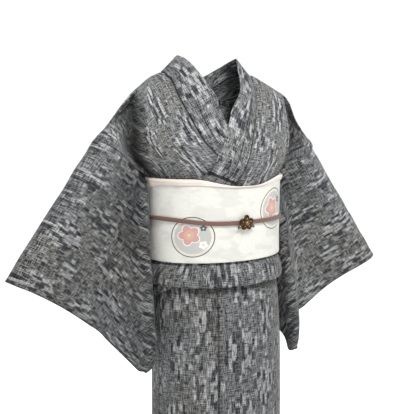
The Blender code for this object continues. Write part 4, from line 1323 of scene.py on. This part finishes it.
def collar_length(name, node, first, last, turned):
    """Wide collar folded lengthwise, two layers that meet at the inner edge."""
    across = COLLAR_ACROSS
    stops = spaced(first, last, max(2, round(abs(last - first) / COLLAR_STOP_SPACE)))
    middle = np.array([[collar_point("left" if stop >= 0 else "right", abs(stop), part) for stop in stops]
                       for part in across])
    level = np.array((1.0, 1.0, 0.0))
    normals = outward_normals(middle, middle * (1 - level) + np.array(COLLAR_AXIS) * level)[0]
    past = [max(0.0, part - COLLAR_ROUND_FROM) / (1 - COLLAR_ROUND_FROM) for part in across]
    layer = np.array([COLLAR_LAYER * math.sqrt(max(0.0, 1 - part ** 2)) for part in past])[:, None, None]
    sections = np.concatenate([middle + normals * layer, (middle - normals * layer)[-2::-1]], axis=0)
    places = [part * COLLAR_WIDTH for part in across + [2 - part for part in across[-2::-1]]]
    path = np.concatenate([[0.0], np.cumsum(np.linalg.norm(np.diff(middle[5], axis=0), axis=1))])
    item = cloth_grid(name, list(range(len(stops))), list(range(len(sections))),
                      lambda i, j: sections[j, i], lambda i, j: (places[j] + 0.01, path[i]), CLOTH_COLLAR,
                      middle=COLLAR_AXIS, turned=turned)
    dress(item, node)


SLEEVE_START = -0.0012
SLEEVE_FOLDS = {
    "left": (
        (0.020, 0.020, 0.120, 0.200, 0.014, 0.0020), (0.100, 0.060, 0.190, 0.330, 0.020, -0.0026),
        (0.190, 0.090, 0.245, 0.360, 0.018, 0.0026), (0.270, 0.140, 0.300, 0.330, 0.014, -0.0018),
        (0.060, -0.050, 0.150, -0.330, 0.020, 0.0028), (0.160, -0.080, 0.220, -0.370, 0.018, -0.0024),
        (0.240, -0.110, 0.280, -0.350, 0.016, 0.0022),
    ),
    "right": (
        (0.030, 0.020, 0.110, 0.180, 0.014, 0.0018), (0.085, 0.050, 0.180, 0.300, 0.020, -0.0024),
        (0.170, 0.100, 0.230, 0.370, 0.018, 0.0024), (0.255, 0.120, 0.300, 0.350, 0.015, -0.0018),
        (0.070, -0.060, 0.140, -0.330, 0.020, 0.0028), (0.150, -0.080, 0.215, -0.370, 0.018, -0.0024),
        (0.235, -0.100, 0.285, -0.360, 0.016, 0.0022),
    ),
}
SLEEVE_RIPPLE = {"left": (21, 0.0007, 0.085), "right": (22, 0.0007, 0.085)}
# Painted shade of the sleeves: beside the body, low down, and over the right sleeve
SLEEVE_NEAR_SHADE = 0.50
SLEEVE_LOW_SHADE = 0.16
SLEEVE_TURNED_SHADE = 0.09
TUCK_IN = 0.012
TUCK_BACK = 0.0028


def sleeve_rows():
    """Places down the sleeve wall, close together at the top and bottom folds."""
    top = [SLEEVE_RADIUS * (1 - math.cos(math.pi / 2 * k / 12)) for k in range(12)]
    wall = spaced(SLEEVE_RADIUS, SLEEVE_DEPTH - BAG_HALF_GAP, 100)
    bottom = [SLEEVE_DEPTH - BAG_HALF_GAP * (1 - math.sin(math.pi / 2 * k / 5)) for k in range(1, 6)]
    return top + wall + bottom


def sleeve_painted_shade(along, row, spot):
    """Painted shade of the sleeve where it hangs close beside the body and low down, and a little over the
    right sleeve.
    """
    near = smooth(abs(spot[0]), 0.255, 0.175) * smooth(-spot[2], 0.14, 0.24)
    low = SLEEVE_LOW_SHADE * smooth(-spot[2], 0.30, 0.62)
    return max(SLEEVE_NEAR_SHADE * near, low) + SLEEVE_TURNED_SHADE * smooth(-spot[0], 0.16, 0.22)


def sleeve(side):
    """Bag sleeve in one cloth, open at the body side and at the cuff."""
    downs = sleeve_rows()
    rows = [(down, 1.0) for down in downs] + [(down, -1.0) for down in reversed(downs[:-1])]
    columns = spaced(SLEEVE_START, SLEEVE_WIDTH - SLEEVE_CORNER, 60)
    columns += [SLEEVE_WIDTH - SLEEVE_CORNER * (1 - math.sin(math.pi / 2 * k / 12)) for k in range(1, 13)]

    def place(along, row):
        full, wall = row
        down = full * sleeve_end(max(along, 0.0)) / SLEEVE_DEPTH
        spread = sleeve_spread(along, down)
        if full in (0.0, SLEEVE_DEPTH):
            spread = 0.0
        if side == "left" and wall > 0:
            tuck = smooth(along, 0.030, SLEEVE_START) * smooth(down, 0.030, 0.060)
            tuck *= smooth(down, 0.130, 0.100)
            along -= TUCK_IN * tuck
            spread -= TUCK_BACK * tuck
        return sleeve_point(side, along, down, spread * wall)

    item = cloth_grid("kimono_sleeve_" + side, columns, rows, place,
                      lambda along, row: (along, row[0] * row[1]), CLOTH_SLEEVE, middle="ring", ring=True,
                      creases=SLEEVE_FOLDS[side], rough=SLEEVE_RIPPLE[side], painted_shade=sleeve_painted_shade)
    dress(item, "sleeve_" + side)


BAND_HALF = OBI_CLOTH / 2
BAND_LENGTH = 0.79
BAND_RISE = 0.0075


def band_section():
    """Section of the belt band, a folded cloth with round edges: inwards, height."""
    low = OBI_LOW_Z + BAND_HALF
    high = OBI_TOP_Z - BAND_HALF
    turns = [math.pi * k / 6 for k in range(1, 6)]
    rows = [(BAND_HALF, z) for z in spaced(low, high, 30)]
    rows += [(BAND_HALF * math.cos(turn), high + BAND_HALF * math.sin(turn)) for turn in turns]
    rows += [(-BAND_HALF, z) for z in spaced(high, low, 6)]
    rows += [(-BAND_HALF * math.cos(turn), low - BAND_HALF * math.sin(turn)) for turn in turns]
    return rows + [(BAND_HALF, low + 1e-9)]


def obi_rise(deg, z):
    """Upper edge of the band a little higher at the sides than in front."""
    return BAND_RISE * smooth(abs(deg - 6), 6, 46) * smooth(z, -0.300, OBI_TOP_Z)


def obi_band():
    """Belt band round the waist, folded cloth with soft edges."""
    item = cloth_grid("obi_band_silk", spaced(-180.0, 180.0, 180), band_section(),
                      lambda deg, row: form(deg, row[1] + obi_rise(deg, row[1]), OFF_OBI + row[0]),
                      lambda deg, row: (deg / 360.0 * BAND_LENGTH, row[1] - OBI_LOW_Z), OBI_SILK,
                      ring=True, thick=0)
    dress(item, "obi_band")


def thick_fold(name, node, half, rows, columns, place, flat):
    """Belt cloth with round edges."""
    item = cloth_grid(name, spaced(-half, half, columns), rows, place, flat, OBI_SILK_DRUM,
                      middle=(0.0, 0.150, -0.30), thick=OBI_CLOTH)
    edge = item.modifiers.new("soft edges", "BEVEL")
    edge.width = 0.0012
    edge.segments = 3
    edge.limit_method = "ANGLE"
    edge.angle_limit = math.radians(60)
    finish_modifiers(item)
    soften(item, 50)
    dress(item, node)


def drum_cloth(name, node, sections, count, width, start):
    """Cloth that follows the sections of the drum or of its tail."""
    half = width / 2
    keys = spaced(0.0, len(sections) - 1.0, count)

    def place(x, key):
        return drum_point(sections, key, x, half)

    down = lengths_down(keys, 0.0, place)
    thick_fold(name, node, half, keys, 40, place, lambda x, key: (x + half, start - down[key]))


def drum_parts():
    """Drum knot, its tail and the belt end passed through it."""
    drum_cloth("obi_drum_silk", "obi_drum", DRUM, 110, DRUM_WIDTH, 0.60)
    drum_cloth("obi_tail_silk", "obi_tail", TAIL, 40, TAIL_WIDTH, 0.30)
    thick_fold("obi_hand_silk", "obi_hand", HAND_HALF, spaced(-0.315, -0.400, 10), 56,
               lambda x, z: np.array((x, hand_depth(x), z)), lambda x, z: (x + 0.40, z + 0.52))


SASH_TURNS = spaced(-80.0, 262.0, 44)
SASH_HALF_HEIGHT = 0.0084
SASH_THIN = 0.0009
SASH_FULLER = 0.0044
SASH_HALF_DEPTH = 0.0040
SASH_FLATTER = 0.0012
SASH_OFF = 0.0143
SASH_SIDE_Z = -0.2258


def sash_point(column, turn_deg):
    """Sash rolled in on itself above the belt, with uneven lengthwise folds."""
    step = abs(column)
    sign = 1.0 if column >= 0 else -1.0
    deg = sign * 90.0 * step / SIDE_STEP
    turn = math.radians(turn_deg)
    drift = 0.7 * math.sin(column * 0.55) + 0.4 * math.sin(column * 1.3 + 1.0)
    fold = 1.0 + 0.13 * math.sin(4 * turn + drift) - 0.09 * math.sin(7 * turn + 1.7 * drift)
    out = math.cos(turn) * fold
    up = math.sin(turn) * fold
    away = abs(deg - 8)
    across = SASH_HALF_DEPTH - SASH_FLATTER * (1 - smooth(away, 45, 60))
    if step <= SIDE_STEP:
        along = SASH_THIN + SASH_FULLER * smooth(away, 6, 48)
        seat = OBI_TOP_Z + obi_rise(deg, OBI_TOP_Z) + 0.9 * along
        behind = smooth(abs(deg), 66, 90)
        along = along + (SASH_HALF_HEIGHT - along) * behind
        z = seat + (SASH_SIDE_Z - seat) * behind + along * up
        off = SASH_OFF + SASH_FLATTER * (1 - smooth(abs(deg + 14), 34, 50)) + across * (1 + out)
        return form(deg, z, off)
    before = point_at(SASH_BACK, step - 0.5)
    after = point_at(SASH_BACK, min(step + 0.5, BACK_STEP))
    outward = level_out(before, after) if step < BACK_STEP else np.array((0.0, 1.0, 0.0))
    point = point_at(SASH_BACK, step) + outward * across * out
    point[2] += SASH_HALF_HEIGHT * up
    point[0] *= sign
    return point


def sash():
    """Pink sash tucked in above the belt."""
    item = cloth_grid("sash_silk", spaced(-BACK_STEP, BACK_STEP, 288), SASH_TURNS, sash_point,
                      lambda column, turn: (column * CORD_STEP, turn / 360.0 * 0.036), SASH_SILK,
                      middle=(0.0, 0.0, SASH_SIDE_Z), thick=0.0007)
    dress(item, "obiage")


CORD_STRAND = 0.0042
CORD_GROOVE = 0.34
CORD_SAG = 0.0035
CORD_LIFT = 0.0095


def cord_line():
    """Whole middle line of the cord as a smooth table: step, x, y, height."""
    rows = [(k,) + tuple(cord_centre(k)) for k in range(BACK_STEP + 1)]
    _, x, y, z = rows[1]
    _, last_x, last_y, last_z = rows[BACK_STEP - 1]
    return [(-1.0, -x, y, z)] + rows + [(BACK_STEP + 1.0, -last_x, last_y, last_z)]


def cord():
    """Flat braid in two ridges, a closed ring over the belt and through the drum."""
    rows = cord_line()
    steps = spaced(-BACK_STEP, BACK_STEP, 1500)
    shape = {}
    for column in steps:
        step = abs(column)
        outward = level_out(point_at(rows, step - 0.05), point_at(rows, step + 0.05))
        shape[column] = (point_at(rows, step), outward)

    def place(column, turn_deg):
        point, outward = shape[column]
        turn = math.radians(turn_deg)
        side = math.sin(turn)
        groove = 1 - CORD_GROOVE * math.exp(-(side / 0.20) ** 2)
        strand = 1 + 0.07 * math.sin(2 * math.pi * (column * CORD_STEP / CORD_STRAND + abs(side) * 0.9))
        spot = point + outward * CORD_HALF_THICK * math.cos(turn) * groove * strand
        lift = CORD_SAG + CORD_LIFT * smooth(-column * 7.5, 12, 70)
        spot[2] += CORD_HALF_WIDTH * side + lift * (1 - smooth(abs(column), SIDE_STEP, 20))
        spot[0] *= 1.0 if column >= 0 else -1.0
        return spot

    def flat(column, turn_deg):
        return column * CORD_STEP, CORD_HALF_WIDTH * math.sin(math.radians(turn_deg))

    item = cloth_grid("cord_braid", steps, spaced(0.0, 360.0, 20), place, flat, CORD_SILK,
                      middle=(0.0, 0.0, CORD_Z), ring=True, thick=0)
    dress(item, "obijime")


def add_ball(place, size, turn, material, segments, rings):
    """Small rounded piece of the ornament, shaped in edit mode."""
    clean_selection()
    bpy.ops.mesh.primitive_uv_sphere_add(segments=segments, ring_count=rings, radius=1.0)
    item = bpy.context.object
    bpy.ops.object.mode_set(mode="EDIT")
    bpy.ops.mesh.select_all(action="SELECT")
    bpy.ops.transform.resize(value=size)
    bpy.ops.object.mode_set(mode="OBJECT")
    item.data.materials.append(material)
    for vertex in item.data.vertices:
        x, y, z = vertex.co
        flat = (x * math.cos(turn) - z * math.sin(turn), y, x * math.sin(turn) + z * math.cos(turn))
        vertex.co = Vector(flat) + Vector(place)
    return item


ORNAMENT_SIZE = 1.4
ORNAMENT_DEPTH = 1.2
ORNAMENT_DEG = 4.5
ORNAMENT_BEND = 2.4
ORNAMENT_UP = 0.0035
STAMENS = 8


def ornament():
    """Dark metal blossom with gold stamens and two leaves, threaded on the cord."""
    made = []
    for k in range(PETALS):
        turn = math.radians(90 + 360 / PETALS * k)
        across, up = math.cos(turn), math.sin(turn)
        made.append(add_ball((0.0072 * across, -0.0026, 0.0066 * up), (0.0054, 0.0022, 0.0048), turn,
                             ORNAMENT_DARK, 20, 12))
        made.append(add_ball((0.0068 * across, -0.0043, 0.0062 * up), (0.0020, 0.0009, 0.0005), turn,
                             ORNAMENT_GOLD, 10, 6))
    for k in range(STAMENS):
        turn = math.radians(22 + 360 / STAMENS * k)
        made.append(add_ball((0.0030 * math.cos(turn), -0.0052, 0.0030 * math.sin(turn)),
                             (0.0008, 0.0008, 0.0008), 0.0, ORNAMENT_GOLD, 8, 6))
    made.append(add_ball((0.0, -0.0046, 0.0), (0.0017, 0.0013, 0.0017), 0.0, ORNAMENT_GOLD, 16, 10))
    for side in (-1, 1):
        made.append(add_ball((side * 0.0112, -0.0018, -0.0052), (0.0046, 0.0012, 0.0022), side * -0.6,
                             ORNAMENT_DARK, 14, 8))
        made.append(add_ball((side * 0.0112, -0.0030, -0.0052), (0.0036, 0.0005, 0.0004), side * -0.6,
                             ORNAMENT_GOLD, 8, 6))
    pick(*made)
    bpy.ops.object.join()
    flower_item = bpy.context.object
    flower_item.name = "cord_ornament"
    flower_item.data.name = "cord_ornament"
    middle = form(ORNAMENT_DEG, CORD_Z, OFF_OBI + BAND_HALF + 0.0024 + CORD_HALF_THICK + 0.0004)
    out = form_normal(ORNAMENT_DEG, CORD_Z)
    turn = math.atan2(out[0], -out[1])
    for vertex in flower_item.data.vertices:
        x = vertex.co.x * ORNAMENT_SIZE
        y = vertex.co.y * ORNAMENT_DEPTH + ORNAMENT_BEND * x * x
        z = vertex.co.z * ORNAMENT_SIZE + ORNAMENT_UP
        vertex.co = (middle[0] + x * math.cos(turn) - y * math.sin(turn),
                     middle[1] + x * math.sin(turn) + y * math.cos(turn), CORD_Z + z)
    soften(flower_item, 60)
    dress(flower_item, "obidome")


def garment():
    """Every cut piece of the kimono."""
    for piece, node, first, last, outer, columns, held_on in SKIRT_PIECES:
        name = "kimono_" + piece if "overlap" in piece else "kimono_skirt_" + piece
        last_gap = 0 if last == OKUMI_EDGE_DEG else SKIRT_GAP
        first_gap = 0 if first == -OKUMI_EDGE_DEG else SKIRT_GAP
        skirt_length(name, node, first + first_gap, last - last_gap, outer, columns)
    body_panel("left")
    body_panel("right")
    seam_deg = OKUMI_DEG - 0.08
    overfold_strip("kimono_overlap_upper_left", "okumi_upper_left", seam_deg, None, -1.0, OFF_BODY_TOP,
                   OVERFOLD_LIFT, 24, 0.115)
    overfold_strip("kimono_overlap_upper_right", "okumi_upper_right", seam_deg, None, 1.0, OFF_BODY,
                   0.0, 24, 0.115)
    overfold_strip("kimono_collar_tail", "collar_tail", None, 94.0, -1.0, OFF_BODY_TOP,
                   OVERFOLD_LIFT, 12, 0.050)
    end_stop = COVER_STOP + COVER_GAP
    collar_length("kimono_collar_cover", "collar_cover", -COVER_STOP, COVER_STOP, TURNED_OUT)
    collar_length("kimono_collar_end_left", "collar_end_left", end_stop, 1.0, TURNED_IN)
    collar_length("kimono_collar_end_right", "collar_end_right", -end_stop, -1.0, TURNED_IN)
    sleeve("left")
    sleeve("right")


def belt():
    """Belt, sash, cord and ornament."""
    obi_band()
    drum_parts()
    sash()
    cord()
    ornament()


WHITE = colour(1.0, 1.0, 1.0)
FLOOR_SIZE = 14.0
# Lamps: name, place, aim, size, power
LAMPS = (
    ("key", (-0.18, -1.60, 1.90), (0.0, 0.0, -0.20), 0.8, 76.0),
    ("fill", (-1.3, -1.9, 0.2), (0.0, 0.0, -0.30), 1.2, 4.0),
    ("side", (1.5, -1.1, 1.1), (0.15, 0.0, -0.12), 0.7, 10.0),
    ("back", (0.4, 2.4, 1.4), (0.0, 0.0, -0.30), 1.8, 12.0),
)


def pale_floor():
    """Pale floor with painted light, glowing little near the garment and more away from it, a painted pool of
    shade round the garment.
    """
    clean_selection()
    bpy.ops.mesh.primitive_plane_add(size=FLOOR_SIZE)
    floor = bpy.context.object
    floor.name = "floor"
    for vertex in floor.data.vertices:
        vertex.co.z = FLOOR_Z
    w = Weaver("floor_painted_glow")
    away = w.distance(*w.split(w.add("ShaderNodeTexCoord").outputs["Object"]))
    # painted light: emission that rises with distance from the middle, low near the garment
    w.feed(w.shader.inputs["Emission Strength"], w.step(away, 0.3, 1.7, 0.05, 0.85))
    floor.data.materials.append(w.surface(colour(0.86, 0.86, 0.86), Roughness=0.9, Emission_Color=WHITE))


def studio_air():
    """White air, dimmer above and in front."""
    world = bpy.data.worlds.new("studio_air")
    bpy.context.scene.world = world
    world.use_nodes = True
    tree = world.node_tree
    background = tree.nodes["Background"]
    background.inputs[0].default_value = WHITE
    way = tree.nodes.new("ShaderNodeSeparateXYZ")
    tree.links.new(tree.nodes.new("ShaderNodeTexCoord").outputs["Generated"], way.inputs[0])
    both = tree.nodes.new("ShaderNodeMath")
    both.operation = "MULTIPLY"
    for k, (axis, *numbers) in enumerate((("Z", 0.17, 0.42, 1.0, 0.30), ("Y", -0.35, 0.45, 0.55, 1.03))):
        ramp = tree.nodes.new("ShaderNodeMapRange")
        tree.links.new(way.outputs[axis], ramp.inputs["Value"])
        for key, number in zip(("From Min", "From Max", "To Min", "To Max"), numbers):
            ramp.inputs[key].default_value = number
        tree.links.new(ramp.outputs["Result"], both.inputs[k])
    tree.links.new(both.outputs[0], background.inputs[1])


def set_camera():
    """Camera turned and tilted to the garment, with the picture's own lens."""
    turn = math.radians(CAMERA_TURN_DEG)
    tilt = math.radians(CAMERA_TILT_DEG)
    right = Vector((math.cos(turn), -math.sin(turn), 0.0))
    ahead = Vector((math.sin(turn), math.cos(turn), 0.0))
    bpy.ops.object.camera_add()
    camera = bpy.context.object
    camera.name = "camera"
    camera.location = ahead * -CAMERA_AWAY + right * CAMERA_ASIDE + Vector((0.0, 0.0, CAMERA_Z))
    look = ahead * math.cos(tilt) - Vector((0.0, 0.0, math.sin(tilt)))
    camera.rotation_euler = look.to_track_quat("-Z", "Y").to_euler()
    camera.data.sensor_width = SENSOR
    camera.data.lens = SENSOR * FOCAL_PIXELS / IMAGE_SIDE
    camera.data.shift_y = PICTURE_SHIFT_UP
    bpy.context.scene.camera = camera


def studio():
    """Pale floor, soft lights and the camera."""
    pale_floor()
    studio_air()
    for name, place, aim, size, power in LAMPS:
        bpy.ops.object.light_add(type="AREA", location=place)
        lamp = bpy.context.object
        lamp.name = "lamp_" + name
        lamp.data.size = size
        lamp.data.energy = power
        lamp.rotation_euler = (Vector(aim) - Vector(place)).to_track_quat("-Z", "Y").to_euler()
    set_camera()
    bpy.context.scene.view_settings.view_transform = "Standard"


studio()
garment()
belt()
